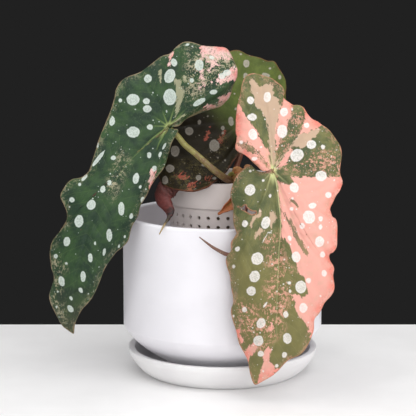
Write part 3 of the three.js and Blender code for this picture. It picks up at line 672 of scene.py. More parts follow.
def smooth_between(keys, values, at):
    """The values at `at` on a smooth curve through unevenly spaced keys."""
    slopes = np.gradient(values, keys, axis=0)
    slopes[1:-1] = (values[2:] - values[:-2]) / (keys[2:] - keys[:-2])[:, None]
    i = np.clip(np.searchsorted(keys, at, side="right") - 1, 0, len(keys) - 2)
    span = (keys[i + 1] - keys[i])[:, None]
    t = (at - keys[i])[:, None] / span
    return (
        (2 * t**3 - 3 * t**2 + 1) * values[i]
        + (3 * t**2 - 2 * t**3) * values[i + 1]
        + ((t**3 - 2 * t**2 + t) * slopes[i] + (t**3 - t**2) * slopes[i + 1]) * span
    )


def finely(points, steps=6):
    """A smooth curve through the points, in `steps` steps to a span."""
    points = np.asarray(points, float)
    return smooth_row(points, np.linspace(0, len(points) - 1, steps * (len(points) - 1) + 1))


def to_line(points, line):
    """Each point's distance from a line, the side that it lies on, and how far along the line it is."""
    starts, steps = line[:-1], np.diff(line, axis=0)
    lengths = np.linalg.norm(steps, axis=1)
    passed = np.concatenate([[0], np.cumsum(lengths)[:-1]])
    nearest = np.full(len(points), np.inf)
    side = np.ones(len(points))
    along = np.zeros(len(points))
    for start, step, length, before in zip(starts, steps, lengths, passed):
        offset = points - start
        share = np.clip(offset @ step / length**2, 0, 1)
        gap = np.linalg.norm(offset - share[:, None] * step, axis=1)
        closer = gap < nearest - 1e-9
        nearest[closer] = gap[closer]
        side[closer] = np.where(step[0] * offset[:, 1] - step[1] * offset[:, 0] < 0, -1, 1)[closer]
        along[closer] = (before + share * length)[closer]
    return nearest, side, along


def to_patch(points, corners):
    """Each point's distance from a patch's outline, below zero inside."""
    corners = np.asarray(corners, float)
    outline = np.vstack([corners, corners[:1]])
    gap, _, _ = to_line(points, outline)
    inside = np.zeros(len(points), bool)
    for (x0, y0), (x1, y1) in zip(outline[:-1], outline[1:]):
        if y0 != y1:
            crosses = (y0 > points[:, 1]) != (y1 > points[:, 1])
            inside ^= crosses & (points[:, 0] < x0 + (points[:, 1] - y0) * (x1 - x0) / (y1 - y0))
    return np.where(inside, -gap, gap)


def to_spot(points, across, up, width, height, lean=0):
    """Each point's distance from an oval spot's edge, below zero inside. The lean is anticlockwise."""
    turn = math.radians(lean)
    offset = points - (across, up)
    x = offset[:, 0] * math.cos(turn) + offset[:, 1] * math.sin(turn)
    y = offset[:, 1] * math.cos(turn) - offset[:, 0] * math.sin(turn)
    reach = np.hypot(x / (width / 2), y / (height / 2)) + 1e-6
    return np.hypot(x, y) * (1 - 1 / reach)


NOWHERE = 99.0


def nearest_of(distances, count):
    """The least of several lists of distances, or far away where there are none."""
    return np.minimum.reduce([*distances, np.full(count, NOWHERE)])


# ---- Meshes ----


def mesh_object(name, points, faces, material):
    """A smooth-shaded object of points in millimetres."""
    mesh = bpy.data.meshes.new(name)
    mesh.from_pydata((np.asarray(points) * MM).tolist(), [], faces)
    mesh.shade_smooth()
    mesh.materials.append(material)
    return shown(name, mesh)


def shown(name, data):
    thing = bpy.data.objects.new(name, data)
    bpy.context.scene.collection.objects.link(thing)
    return thing


def with_creases(piece):
    piece.data.set_sharp_from_angle(angle=CREASE)
    return piece


def thicken(piece, thickness, side=0):
    """Gives a sheet its thickness: on both sides alike, or behind it where `side` is -1."""
    solid = piece.modifiers.new("thickness", "SOLIDIFY")
    solid.thickness = thickness * MM
    solid.offset = side
    return solid


def put(mesh, name, values):
    """Keeps one number to a point on the mesh, for its material."""
    mesh.attributes.new(name, "FLOAT", "POINT").data.foreach_set("value", values.astype(np.float32))


def rounded(profile):
    """A profile of (radius, height, rounding) corners with each corner bent into a curve."""
    corners = np.array([corner[:2] for corner in profile], float)
    points = [corners[0]]
    for before, here, after, (_, _, rounding) in zip(corners, corners[1:], corners[2:], profile[1:-1]):
        back, on = before - here, after - here
        back *= min(rounding / np.linalg.norm(back), 0.5)
        on *= min(rounding / np.linalg.norm(on), 0.5)
        for t in np.linspace(0, 1, BEND_STEPS):
            points.append(here + back * (1 - t) ** 2 + on * t**2)
    return [*points, corners[-1]]


def turned(name, profile, material, closed=False):
    """A profile turned about the Z axis. A closed one is a ring, and any other has both ends on the axis."""
    turns = np.arange(TURNED_SIDES) * 2 * math.pi / TURNED_SIDES
    circle = np.stack([np.cos(turns), np.sin(turns), np.zeros(TURNED_SIDES)], 1)
    rings = profile if closed else profile[1:-1]
    points = [radius * circle + (0, 0, height) for radius, height in rings]
    faces = []
    for i in range(len(rings) - (0 if closed else 1)):
        for k in range(TURNED_SIDES):
            low, high = i * TURNED_SIDES, (i + 1) % len(rings) * TURNED_SIDES
            on = (k + 1) % TURNED_SIDES
            faces.append((low + k, low + on, high + on, high + k))
    if not closed:
        first, last = len(rings) * TURNED_SIDES, (len(rings) - 1) * TURNED_SIDES
        points.append([[0, 0, profile[0][1]], [0, 0, profile[-1][1]]])
        for k in range(TURNED_SIDES):
            on = (k + 1) % TURNED_SIDES
            faces.append((first, on, k))
            faces.append((first + 1, last + k, last + on))
    return with_creases(mesh_object(name, np.vstack(points), faces, material))


class Net:
    """The smooth sheet of a blade: bent ribs from the stalk's end out to a waved margin."""

    def __init__(self, shape):
        self.stalk_end = on_sight_lines([shape["attachment"]])[0]
        self.margin = on_sight_lines(shape["margin"])
        straight = [(i, None) for i in range(len(self.margin))]
        ribs = shape.get("ribs", straight)
        self.keys = np.array([i for i, _ in ribs], float)
        self.ends = self.margin[self.keys.astype(int)]
        if "ribs" in shape:
            self.middles = on_sight_lines([middle for _, middle in ribs])
        else:
            self.middles = (self.ends + self.stalk_end) / 2
        self.last = len(self.margin) - 1

    def places(self, rib, out):
        """Places given by rib, counted in margin points, and by the share of the way out."""
        end = smooth_row(self.margin, rib)
        middle = smooth_between(self.keys, self.middles, rib)
        smooth_end = smooth_between(self.keys, self.ends, rib)
        inner = self.stalk_end / 3 + 2 * middle / 3
        outer = 2 * middle - (2 * self.stalk_end + smooth_end) / 3
        t = out[:, None]
        s = 1 - t
        return self.stalk_end * s**3 + 3 * inner * t * s**2 + 3 * outer * t**2 * s + end * t**3


NET_RINGS = [0.002, 0.1, 0.26, 0.45, 0.64, 0.83, 1]


def halved(triangles, middles):
    """The triangles cut at the middles of their long edges. A middle is -1 where the edge is short."""
    split = middles >= 0
    done = [triangles[~split.any(1)]]

    def cut(chosen, *trios):
        for trio in trios:
            done.append(np.column_stack([corner[chosen] for corner in trio]))

    for turn in range(3):
        a, b, c = np.roll(triangles, turn, axis=1).T
        ab, bc, _ = np.roll(middles, turn, axis=1).T
        first, second, third = np.roll(split, turn, axis=1).T
        cut(first & ~second & ~third, (a, ab, c), (ab, b, c))
        cut(first & second & ~third, (ab, b, bc), (a, ab, bc), (a, bc, c))
    a, b, c = triangles.T
    ab, bc, ca = middles.T
    cut(split.all(1), (a, ab, ca), (ab, b, bc), (ca, bc, c), (ab, bc, ca))
    return np.vstack(done)


def to_tears(seen, tears):
    """Each point's distance from the nearest tear's edge, below zero inside."""
    return nearest_of([to_patch(seen, tear) for tear in tears], len(seen))


def fine_sheet(net, longest, tears=()):
    """A blade's sheet with no edge over `longest`, and finer and open at the tears: its triangles, and the
    rib and way out of each point."""
    count = net.last + 1
    rib = np.concatenate([[0], np.tile(np.arange(count), len(NET_RINGS))]).astype(float)
    out = np.concatenate([[0], np.repeat(NET_RINGS, count)])
    near = 1 + np.arange(net.last)
    triangles = [np.column_stack([np.zeros_like(near), near + 1, near])]
    for ring in range(len(NET_RINGS) - 1):
        far = near + count
        triangles.append(np.column_stack([near, near + 1, far]))
        triangles.append(np.column_stack([near + 1, far + 1, far]))
        near = far
    triangles = np.vstack(triangles)
    for _ in range(MOST_HALVINGS):
        places = net.places(rib, out)
        edges = np.sort(triangles[:, [[0, 1], [1, 2], [2, 0]]].reshape(-1, 2), axis=1)
        edges, number = np.unique(edges, axis=0, return_inverse=True)
        ends = places[edges]
        by_tear = to_tears(as_seen(ends.mean(1)), tears) < TEAR_REACH
        long = np.linalg.norm(ends[:, 0] - ends[:, 1], axis=1) > np.where(by_tear, TEAR_EDGE, longest)
        if not long.any():
            break
        middles = np.full(len(edges), -1)
        middles[long] = len(rib) + np.arange(long.sum())
        rib = np.append(rib, rib[edges[long]].mean(1))
        out = np.append(out, out[edges[long]].mean(1))
        triangles = halved(triangles, middles[number].reshape(-1, 3))
    places = net.places(rib, out)
    whole = to_tears(as_seen(places[triangles].mean(1)), tears) > 0
    kept, renumbered = np.unique(triangles[whole], return_inverse=True)
    return renumbered.reshape(-1, 3), rib[kept], out[kept]


def facings(places, triangles):
    """The direction that the sheet faces at each point."""
    a, b, c = (places[triangles[:, k]] for k in range(3))
    flat = np.cross(b - a, c - a)
    total = np.zeros_like(places)
    for k in range(3):
        np.add.at(total, triangles[:, k], flat)
    return total / np.maximum(np.linalg.norm(total, axis=1), 1e-9)[:, None]


VEIN_GROOVE = {"depth": 0.5, "width": 1.2}
QUILTING = {"height": 0.28, "spacing": 7.5, "lean": 0.75}
RUFFLE = {"height": 0.45, "waves": 2.6}


def vein_facts(seen, veins):
    """For each point: its distance from the nearest main vein, with the sign changing at each vein, how far
    it is along the side veins' pattern, and how plainly side veins show there."""
    found = [to_line(seen, finely(vein)) for vein in veins]
    gaps = np.array([gap for gap, _, _ in found])
    order = np.argsort(gaps, axis=0)
    nearest, row = order[0], np.arange(len(seen))
    side = np.array([side for _, side, _ in found])[nearest, row]
    along = np.array([along for _, _, along in found])[nearest, row]
    gap = gaps[nearest, row]
    sector = nearest + (side < 0)
    phase = (along - gap * QUILTING["lean"]) / QUILTING["spacing"]
    plain = np.clip((gaps[order[1], row] - gap) / 4, 0, 1)
    return np.where(sector % 2, -gap, gap), phase, plain


def blade(name, shape, finish, underside):
    """A leaf blade: its fine sheet with veins sunk in and the leaf raised between them, given a thickness."""
    net = Net(shape)
    faces, rib, out = fine_sheet(net, BLADE_EDGE, shape.get("tears", ()))
    places = net.places(rib, out)
    facing = facings(places, faces)
    count = len(places)
    seen = as_seen(places)
    veins = [[shape["attachment"][:2], *vein] for vein in shape["veins"]]
    vein, phase, plain = vein_facts(seen, veins)
    rim, _, _ = to_line(seen, finely(as_seen(net.margin), 4))
    edge = np.minimum(rim, to_tears(seen, shape.get("tears", ())))
    sunk = np.exp(-((vein / VEIN_GROOVE["width"]) ** 2)) * VEIN_GROOVE["depth"]
    raised = np.sin(phase * math.pi) ** 2 * plain * np.clip(rim / 5, 0, 1) * QUILTING["height"]
    ruffled = np.sin(rib * RUFFLE["waves"]) * out**6 * RUFFLE["height"]
    places = places + facing * (raised - sunk * np.clip(rim / 3, 0, 1) + ruffled)[:, None]
    piece = mesh_object(name, places, faces.tolist(), finish)
    mesh = piece.data
    put(mesh, "spot", nearest_of([to_spot(seen, *spot) for spot in shape["spots"]], count))
    for patch in ("pink", "beige", "green"):
        put(mesh, patch, nearest_of([to_patch(seen, corners) for corners in shape.get(patch, ())], count))
    mottled = nearest_of([to_patch(seen, corners) for corners in shape["mottle"]], count)
    put(mesh, "mottle", np.clip(0.5 - mottled / 6, 0, 1))
    put(mesh, "vein", vein)
    put(mesh, "midrib", np.prod(to_line(seen, finely(veins[shape["midrib"]]))[:2], axis=0))
    put(mesh, "side_vein", phase)
    put(mesh, "side_vein_share", plain)
    put(mesh, "rim", rim)
    put(mesh, "edge", edge)
    put(mesh, "out", out)
    ribs = mesh.uv_layers.new(name="ribs")
    corners = np.array([loop.vertex_index for loop in mesh.loops])
    ribs.data.foreach_set("uv", np.stack([rib / net.last, out], 1)[corners].astype(np.float32).ravel())
    mesh.materials.append(underside)
    thicken(piece, BLADE_THICKNESS, side=-1).material_offset = 1
    return piece


# ---- Nodes ----


class Nodes:
    """A node tree built by short calls."""

    def __init__(self, tree):
        self.tree = tree

    def node(self, kind, feeds=None, **settings):
        made = self.tree.nodes.new(kind)
        for name, value in settings.items():
            setattr(made, name, value)
        for key, value in (feeds or {}).items():
            if isinstance(value, bpy.types.NodeSocket):
                self.tree.links.new(value, made.inputs[key])
            else:
                made.inputs[key].default_value = value
        return made

    def calc(self, operation, *values, clamp=False):
        feeds = dict(enumerate(values))
        return self.node("ShaderNodeMath", feeds, operation=operation, use_clamp=clamp).outputs[0]


class Paint(Nodes):
    """A material's nodes. Places are in millimetres, and shares run from 0 to 1."""

    def __init__(self, name):
        self.material = bpy.data.materials.new(name)
        self.material.use_nodes = True
        super().__init__(self.material.node_tree)
        self.shader = self.tree.nodes["Principled BSDF"]
        place = self.node("ShaderNodeTexCoord").outputs["Object"]
        feeds = {"Vector": place, "Scale": 1 / MM}
        self.place = self.node("ShaderNodeVectorMath", feeds, operation="SCALE").outputs[0]

    def set(self, **values):
        for name, value in values.items():
            socket = self.shader.inputs[name.replace("_", " ")]
            if isinstance(value, bpy.types.NodeSocket):
                self.tree.links.new(value, socket)
            else:
                socket.default_value = value

    def kept(self, name):
        return self.node("ShaderNodeAttribute", attribute_name=name).outputs["Fac"]

    def height(self):
        return self.node("ShaderNodeSeparateXYZ", {"Vector": self.place}).outputs["Z"]

    def to_the_right(self):
        return self.node("ShaderNodeSeparateXYZ", {"Vector": self.place}).outputs["X"]

    def noise(self, size, detail=3.0, place=None, roughness=0.5):
        feeds = {"Vector": place or self.place, "Scale": 1 / size, "Detail": detail, "Roughness": roughness}
        return self.node("ShaderNodeTexNoise", feeds).outputs["Fac"]

    def cells(self, size):
        return self.node("ShaderNodeTexVoronoi", {"Vector": self.place, "Scale": 1 / size})

    def ramp(self, value, low, high):
        """A share that is 0 at `low` and 1 at `high`, which may be the lower number."""
        feeds = {"Value": value, "From Min": low, "From Max": high}
        return self.node("ShaderNodeMapRange", feeds, interpolation_type="SMOOTHSTEP").outputs[0]

    def mix(self, share, under, over):
        feeds = {0: share, 6: under, 7: over}
        return self.node("ShaderNodeMix", feeds, data_type="RGBA").outputs[2]

    def bump(self, height, depth, under=None):
        """Fine relief, `depth` millimetres deep."""
        feeds = {"Height": height, "Strength": 1.0, "Distance": depth * MM}
        if under:
            feeds["Normal"] = under
        return self.node("ShaderNodeBump", feeds).outputs[0]


# ---- Finishes ----

SPOT_SOFTNESS = 0.3
SPOT_SHRINK = 0.2
SPECK_KINDS = ((3.4, 0.17, 0.88, 0.85), (1.6, 0.24, 0.92, 0.6))  # spacing, reach, rarity, strength
STALK_SPECKLE = "#c9c08a"


def leaf_finish(name, look):
    """The upper face: green in clouds and streaks, beige and pink patches, pale veins and white spots."""
    paint = Paint(name)
    calc, ramp, mix, noise = paint.calc, paint.ramp, paint.mix, paint.noise
    look = as_colours(look)

    def share(*parts):
        product = parts[0]
        for part in parts[1:]:
            product = calc("MULTIPLY", product, part)
        return product

    def along_ribs(across, outwards):
        feeds = {0: paint.node("ShaderNodeUVMap", uv_map="ribs").outputs[0], 1: (across, outwards, 1.0)}
        return paint.node("ShaderNodeVectorMath", feeds, operation="MULTIPLY").outputs[0]

    out, rim = paint.kept("out"), paint.kept("rim")
    mottle = calc("MAXIMUM", paint.kept("mottle"), share(ramp(rim, 5.0, 0.5), 0.45))
    clouds = noise(9, 3)
    streaks = noise(1, 4, along_ribs(130.0, 14.0), 0.6)
    fine_streaks = noise(1, 3, along_ribs(320.0, 45.0), 0.6)
    base = mix(ramp(clouds, 0.35, 0.65), look["deep"], look["light"])
    base = mix(share(ramp(streaks, 0.45, 0.7), 0.6), base, look["streak"])
    base = mix(share(ramp(fine_streaks, 0.56, 0.7), 0.35), base, look["fleck"])
    # Below the low line the colour turns to the low tone, which on the back leaf is painted shade.
    low_line = calc("MULTIPLY_ADD", paint.to_the_right(), look["low_lean"], paint.height())
    low = share(ramp(low_line, look["low_from"], look["low_to"]), look["low_share"])
    base = mix(low, base, look["low"])

    ragged = calc("MULTIPLY_ADD", streaks, 0.6, share(noise(2.2, 5, roughness=0.65), 0.4))
    ragged = share(calc("SUBTRACT", ragged, 0.5), calc("MULTIPLY_ADD", mottle, 14.0, 8.0))

    def patch(kept, softness=0.35):
        return ramp(calc("ADD", paint.kept(kept), ragged), softness, -softness)

    blush = share(ramp(rim, 6.0, 0.3), ramp(noise(5, 3), 0.35, 0.65))
    pink = mix(blush, look["pink"], look["coral"])
    pink = mix(share(ramp(noise(6, 4), 0.5, 0.7), 0.3), pink, look["beige"])
    patched = mix(share(patch("beige"), 0.85), base, look["beige"])
    patched = mix(share(patch("pink"), 0.95), patched, pink)
    patched = mix(share(patch("green"), 0.85), patched, base)
    grains = calc("MULTIPLY_ADD", fine_streaks, 0.35, share(noise(1.7, 5, roughness=0.7), 0.65))
    clumped = calc("MULTIPLY_ADD", noise(6, 2), 0.3, calc("SUBTRACT", grains, 0.15))
    patched = mix(share(ramp(clumped, 0.51, 0.55), mottle, 0.8), patched, look["speck"])
    dark_grains = noise(1.2, 4, roughness=0.7)
    patched = mix(share(ramp(dark_grains, 0.54, 0.6), mottle, 0.6), patched, base)

    def line(distance, width):
        return ramp(calc("ABSOLUTE", distance), width, share(width, 0.2))

    star = calc("SUBTRACT", 1.0, share(out, 3.6), clamp=True)
    width = calc("MULTIPLY_ADD", out, -0.7, 0.8)
    veined = mix(share(line(paint.kept("vein"), width), star, 0.55), patched, look["vein"])
    along = calc("SUBTRACT", look["midrib_end"], out, clamp=True)
    veined = mix(share(line(paint.kept("midrib"), 0.5), along, 0.9), veined, look["vein"])
    veined = mix(share(ramp(out, 0.08, 0.01), 0.85), veined, look["heart"])
    phase = calc("ABSOLUTE", calc("SUBTRACT", calc("FRACT", paint.kept("side_vein")), 0.5))
    side = share(ramp(phase, 0.45, 0.5), paint.kept("side_vein_share"))
    veined = mix(share(side, 0.08), veined, look["vein"])

    wander = calc("SUBTRACT", noise(1.3, 3), 0.5)
    spot = calc("ADD", calc("ADD", paint.kept("spot"), SPOT_SHRINK), wander)
    white = mix(0.18, look["spot"], patched)
    # Spots below the low line take on some of the low tone, and on the back leaf this is painted shade over
    # them.
    white = mix(share(low, look["spot_low_share"]), white, look["low"])
    middle = share(ramp(spot, -0.45, -0.9), ramp(noise(0.7, 3), 0.4, 0.6))
    worn = mix(share(middle, 0.3), white, patched)
    spotted = mix(ramp(spot, SPOT_SOFTNESS, -SPOT_SOFTNESS), veined, worn)

    def specks(size, reach, rarity, strength, under):
        cells = paint.cells(size)
        chance = paint.node("ShaderNodeSeparateColor", {"Color": cells.outputs["Color"]}).outputs[0]
        crowded = calc("MULTIPLY_ADD", mottle, 0.22, chance)
        dot = ramp(cells.outputs["Distance"], reach, reach * 0.6)
        return mix(share(dot, calc("GREATER_THAN", crowded, rarity), strength), under, white)

    for kind in SPECK_KINDS:
        spotted = specks(*kind, spotted)
    edge = share(ramp(calc("ADD", paint.kept("edge"), wander), 0.8, 0.25), ramp(noise(6, 2), 0.25, 0.6))
    finished = mix(share(edge, look["edge_share"]), spotted, look["edge"])

    grain = paint.bump(paint.cells(0.7).outputs["Distance"], 0.07)
    paint.set(Base_Color=finished, Normal=paint.bump(clouds, 0.35, grain))
    feeds = {"Value": noise(3, 3), "To Min": 0.42, "To Max": 0.64}
    roughness = paint.node("ShaderNodeMapRange", feeds).outputs[0]
    paint.set(Roughness=roughness, Specular_IOR_Level=look["shine"])
    return paint.material


def underside_finish(name, look):
    """The dull red lower face, with paler veins."""
    paint = Paint(name)
    look = as_colours(look)
    clouds = paint.noise(8, 4)
    tone = paint.mix(paint.ramp(clouds, 0.35, 0.65), look["under"], look["low"])
    tone = paint.mix(paint.calc("MULTIPLY", paint.ramp(clouds, 0.5, 0.2), 0.8), tone, look["under"])
    vein = paint.calc("ABSOLUTE", paint.kept("vein"))
    veined = paint.mix(paint.calc("MULTIPLY", paint.ramp(vein, 0.9, 0.3), 0.4), tone, look["vein"])
    paint.set(Base_Color=veined, Roughness=0.55, Normal=paint.bump(paint.noise(1.2, 3), 0.12))
    return paint.material


def plain_finish(name, tone, shade, size, roughness, depth):
    """One colour that clouds over into another, with a fine grain."""
    paint = Paint(name)
    clouds = paint.ramp(paint.noise(size, 4), 0.35, 0.65)
    paint.set(Base_Color=paint.mix(clouds, colour(tone), colour(shade)), Roughness=roughness)
    paint.set(Normal=paint.bump(paint.noise(size / 6, 4), depth))
    return paint.material


def stalk_finish(name, start, end):
    """A stalk that turns from one colour into another along its length, with fine lengthwise fibres."""
    paint = Paint(name)
    along = paint.calc("ADD", paint.kept("along"), paint.calc("SUBTRACT", paint.noise(3, 3), 0.5))
    tone = paint.mix(paint.ramp(along, 0.15, 0.85), colour(start), colour(end))
    speckled = paint.ramp(paint.noise(0.7, 3), 0.6, 0.68)
    tone = paint.mix(paint.calc("MULTIPLY", speckled, 0.3), tone, colour(STALK_SPECKLE))
    paint.set(Base_Color=tone, Roughness=0.45, Normal=paint.bump(paint.noise(0.9, 4), 0.15))
    return paint.material


def dried_finish(name, codes):
    """Dried leaf: three colours along its length, with streaks of a fourth."""
    paint = Paint(name)
    start, middle, end, streak = (colour(code) for code in codes)
    wander = paint.calc("SUBTRACT", paint.noise(3.5, 4), 0.5)
    along = paint.calc("MULTIPLY_ADD", wander, 0.35, paint.kept("along"))
    tone = paint.mix(paint.ramp(along, 0.2, 0.5), start, middle)
    tone = paint.mix(paint.ramp(along, 0.55, 0.8), tone, end)
    streaks = paint.ramp(paint.noise(1.2, 4, roughness=0.7), 0.5, 0.64)
    tone = paint.mix(paint.calc("MULTIPLY", streaks, 0.5), tone, streak)
    paint.set(Base_Color=tone, Roughness=0.6, Normal=paint.bump(paint.noise(1.4, 5), 0.4))
    return paint.material


# ---- Grown by Geometry Nodes ----


class Growth(Nodes):
    """A Geometry Nodes group with named inputs. `ending` closes it with plain, painted geometry."""

    SOCKETS = {bool: "NodeSocketBool", int: "NodeSocketInt", float: "NodeSocketFloat"}

    def __init__(self, name, inputs):
        super().__init__(bpy.data.node_groups.new(name, "GeometryNodeTree"))
        face = self.tree.interface
        face.new_socket("Geometry", in_out="INPUT", socket_type="NodeSocketGeometry")
        face.new_socket("Material", in_out="INPUT", socket_type="NodeSocketMaterial")
        for label, value in inputs.items():
            face.new_socket(label, in_out="INPUT", socket_type=self.SOCKETS[type(value)])
        face.new_socket("Geometry", in_out="OUTPUT", socket_type="NodeSocketGeometry")
        self.given = self.node("NodeGroupInput").outputs
        self.inputs = inputs

    def ending(self, geometry):
        real = self.node("GeometryNodeRealizeInstances", {"Geometry": geometry}).outputs[0]
        feeds = {"Geometry": real, "Material": self.given["Material"]}
        painted = self.node("GeometryNodeSetMaterial", feeds).outputs[0]
        self.node("NodeGroupOutput", {"Geometry": painted})

    def grow(self, piece, material):
        """Changes the piece's mesh into the plain mesh that the group makes of it."""
        modifier = piece.modifiers.new(self.tree.name, "NODES")
        modifier.node_group = self.tree
        values = {"Material": material, **self.inputs}
        for item in self.tree.interface.items_tree:
            if item.in_out == "INPUT" and item.name in values:
                modifier[item.identifier] = values[item.name]
        graph = bpy.context.evaluated_depsgraph_get()
        mesh = bpy.data.meshes.new_from_object(piece.evaluated_get(graph), depsgraph=graph)
        piece.modifiers.clear()
        piece.data = mesh
        return piece


def rod_growth():
    """A round rod along each line, as thick as its points say."""
    growth = Growth("rod", {"Sides": 20})
    curve = growth.node("GeometryNodeMeshToCurve", {"Mesh": growth.given["Geometry"]}).outputs[0]
    thick = growth.node("GeometryNodeInputNamedAttribute", {"Name": "thick"}).outputs[0]
    feeds = {"Resolution": growth.given["Sides"], "Radius": 1.0}
    circle = growth.node("GeometryNodeCurvePrimitiveCircle", feeds).outputs[0]
    feeds = {"Curve": curve, "Profile Curve": circle, "Scale": thick, "Fill Caps": True}
    rod = growth.node("GeometryNodeCurveToMesh", feeds).outputs[0]
    growth.ending(growth.node("GeometryNodeSetShadeSmooth", {"Geometry": rod}).outputs[0])
    return growth


def perforation_growth():
    """Two rows of round holes through an upright wall."""
    sizes = {label: value * MM for label, value in PERFORATION.items()}
    growth = Growth("perforation", {**sizes, "Holes in a Row": HOLES_IN_A_ROW})
    given = growth.given
    feeds = {"Vertices": given["Holes in a Row"], "Radius": given["Wall Radius"]}
    circle = growth.node("GeometryNodeMeshCircle", feeds).outputs[0]
    rows = growth.node("GeometryNodeJoinGeometry")
    for row in ("Upper Row", "Lower Row"):
        lift = growth.node("ShaderNodeCombineXYZ", {"Z": given[row]}).outputs[0]
        moved = growth.node("GeometryNodeTransform", {"Geometry": circle, "Translation": lift}).outputs[0]
        growth.tree.links.new(moved, rows.inputs[0])
    index = growth.node("GeometryNodeInputIndex").outputs[0]
    step = growth.calc("DIVIDE", 2 * math.pi, given["Holes in a Row"])
    turn = growth.calc("MULTIPLY", index, step)
    facing = growth.node("ShaderNodeCombineXYZ", {"Y": math.pi / 2, "Z": turn}).outputs[0]
    feeds = {"Vertices": 16, "Radius": given["Hole Radius"], "Depth": given["Hole Length"]}
    drill = growth.node("GeometryNodeMeshCylinder", feeds).outputs["Mesh"]
    feeds = {"Points": rows.outputs[0], "Instance": drill, "Rotation": facing}
    drills = growth.node("GeometryNodeInstanceOnPoints", feeds).outputs[0]
    drills = growth.node("GeometryNodeRealizeInstances", {"Geometry": drills}).outputs[0]
    feeds = {"Mesh 1": given["Geometry"], "Mesh 2": drills}
    cut = growth.node("GeometryNodeMeshBoolean", feeds, operation="DIFFERENCE", solver="MANIFOLD").outputs[0]
    growth.ending(cut)
    return growth


def crumb_growth():
    """Crumbs strewn over a surface, each turned and sized by chance and a little out of round."""
    inputs = {"Density": CRUMBS["density"] / MM**2, "Size": CRUMBS["size"] * MM, "Seed": CRUMBS["seed"]}
    growth = Growth("crumbs", inputs)
    given = growth.given
    feeds = {"Mesh": given["Geometry"], "Density": given["Density"], "Seed": given["Seed"]}
    strewn = growth.node("GeometryNodeDistributePointsOnFaces", feeds)
    crumb = growth.node("GeometryNodeMeshIcoSphere", {"Radius": 0.5, "Subdivisions": 2}).outputs[0]
    feeds = {0: (0.5, 0.5, 0.4), 1: (1.4, 1.2, 0.9), "Seed": given["Seed"]}
    chance = growth.node("FunctionNodeRandomValue", feeds, data_type="FLOAT_VECTOR").outputs[0]
    feeds = {0: chance, "Scale": given["Size"]}
    size = growth.node("ShaderNodeVectorMath", feeds, operation="SCALE").outputs[0]
    feeds = {1: (6.28, 6.28, 6.28), "Seed": 9}
    turns = growth.node("FunctionNodeRandomValue", feeds, data_type="FLOAT_VECTOR").outputs[0]
    feeds = {"Points": strewn.outputs["Points"], "Instance": crumb, "Scale": size, "Rotation": turns}
    crumbs = growth.node("GeometryNodeInstanceOnPoints", feeds).outputs[0]
    real = growth.node("GeometryNodeRealizeInstances", {"Geometry": crumbs}).outputs[0]
    rough = growth.node("ShaderNodeTexNoise", {"Scale": 1 / (1.2 * MM), "Detail": 2.0}).outputs["Color"]
    feeds = {0: rough, 1: (0.5, 0.5, 0.5)}
    centred = growth.node("ShaderNodeVectorMath", feeds, operation="SUBTRACT").outputs[0]
    feeds = {0: centred, "Scale": 0.7 * MM}
    push = growth.node("ShaderNodeVectorMath", feeds, operation="SCALE").outputs[0]
    growth.ending(growth.node("GeometryNodeSetPosition", {"Geometry": real, "Offset": push}).outputs[0])
    return growth


# ---- Stems ----

ROD_STEPS = 8


def rod(name, path, growth, finish):
    """A round stalk on a smooth path of (x, y, z, radius) points."""
    fine = finely(path, ROD_STEPS)
    mesh = bpy.data.meshes.new(name)
    edges = [(i, i + 1) for i in range(len(fine) - 1)]
    mesh.from_pydata((fine[:, :3] * MM).tolist(), edges, [])
    put(mesh, "thick", fine[:, 3] * MM)
    put(mesh, "along", np.linspace(0, 1, len(fine)))
    return growth.grow(shown(name, mesh), finish)


def seen_path(points):
    """(x, y, z, radius) points of a path given by (across, up, forward, radius)."""
    return np.column_stack([on_sight_lines(points), [p[3] for p in points]])


def thin_sheet(name, shape, finish, crumple):
    """A stipule: a small sheet, crumpled by long and short waves."""
    net = Net(shape)
    faces, rib, out = fine_sheet(net, BLADE_EDGE)
    places = net.places(rib, out)
    facing = facings(places, faces)
    waves = np.sin(places[:, 0] * 0.9 + places[:, 2] * 0.5) + 0.5 * np.sin(places @ (1.7, 0.6, -1.3))
    piece = mesh_object(name, places + facing * (waves * crumple * out)[:, None], faces.tolist(), finish)
    put(piece.data, "along", out)
    thicken(piece, STIPULE_THICKNESS)
    return piece


TIP_FACING = np.array([-0.35, -0.9, 0.25])
TIP_POINTS = 8
CURL = math.radians(105)


def dried_tip(name, finish):
    """The curled ribbon at the back leaf's tip, with its edges rolled away from the viewer."""
    path = finely(seen_path(DRIED_TIP[:TIP_POINTS]), ROD_STEPS)
    centres, half_widths = path[:, :3], path[:, 3]
    onward = np.gradient(centres, axis=0)
    side = np.cross(onward, TIP_FACING)
    side /= np.linalg.norm(side, axis=1)[:, None]
    outward = np.cross(side, onward)
    outward /= np.linalg.norm(outward, axis=1)[:, None]
    across = np.linspace(-1, 1, 17)
    points, along = [], []
    for i, (centre, half) in enumerate(zip(centres, half_widths)):
        for share in across:
            bend = share * CURL
            fold = 0.25 * math.sin(i * 0.9 + share * 5) * half * 0.3
            points.append(
                centre
                + side[i] * math.sin(bend) * half
                + outward[i] * ((math.cos(bend) - 0.6) * half * 0.6 + fold)
            )
            along.append(i / len(centres))
    row = len(across)
    faces = [
        (i * row + k, (i + 1) * row + k, (i + 1) * row + k + 1, i * row + k + 1)
        for i in range(len(centres) - 1)
        for k in range(row - 1)
    ]
    piece = mesh_object(name, points, faces, finish)
    put(piece.data, "along", np.array(along))
    thicken(piece, DRIED_THICKNESS)
    return piece


# ---- Pots and soil ----


def shoulder(widest, inset, top, drop):
    """Points on a quarter of a flattened ellipse, from its lowest up to its widest."""
    turns = np.linspace(math.pi / 2, 0, 17)
    out = np.clip(np.cos(turns), 0, 1) ** POT_SHOULDER_FLATNESS
    down = np.sin(turns) ** POT_SHOULDER_FLATNESS
    return [(widest - inset * (1 - o), top - drop * d, 0.4) for o, d in zip(out, down)]


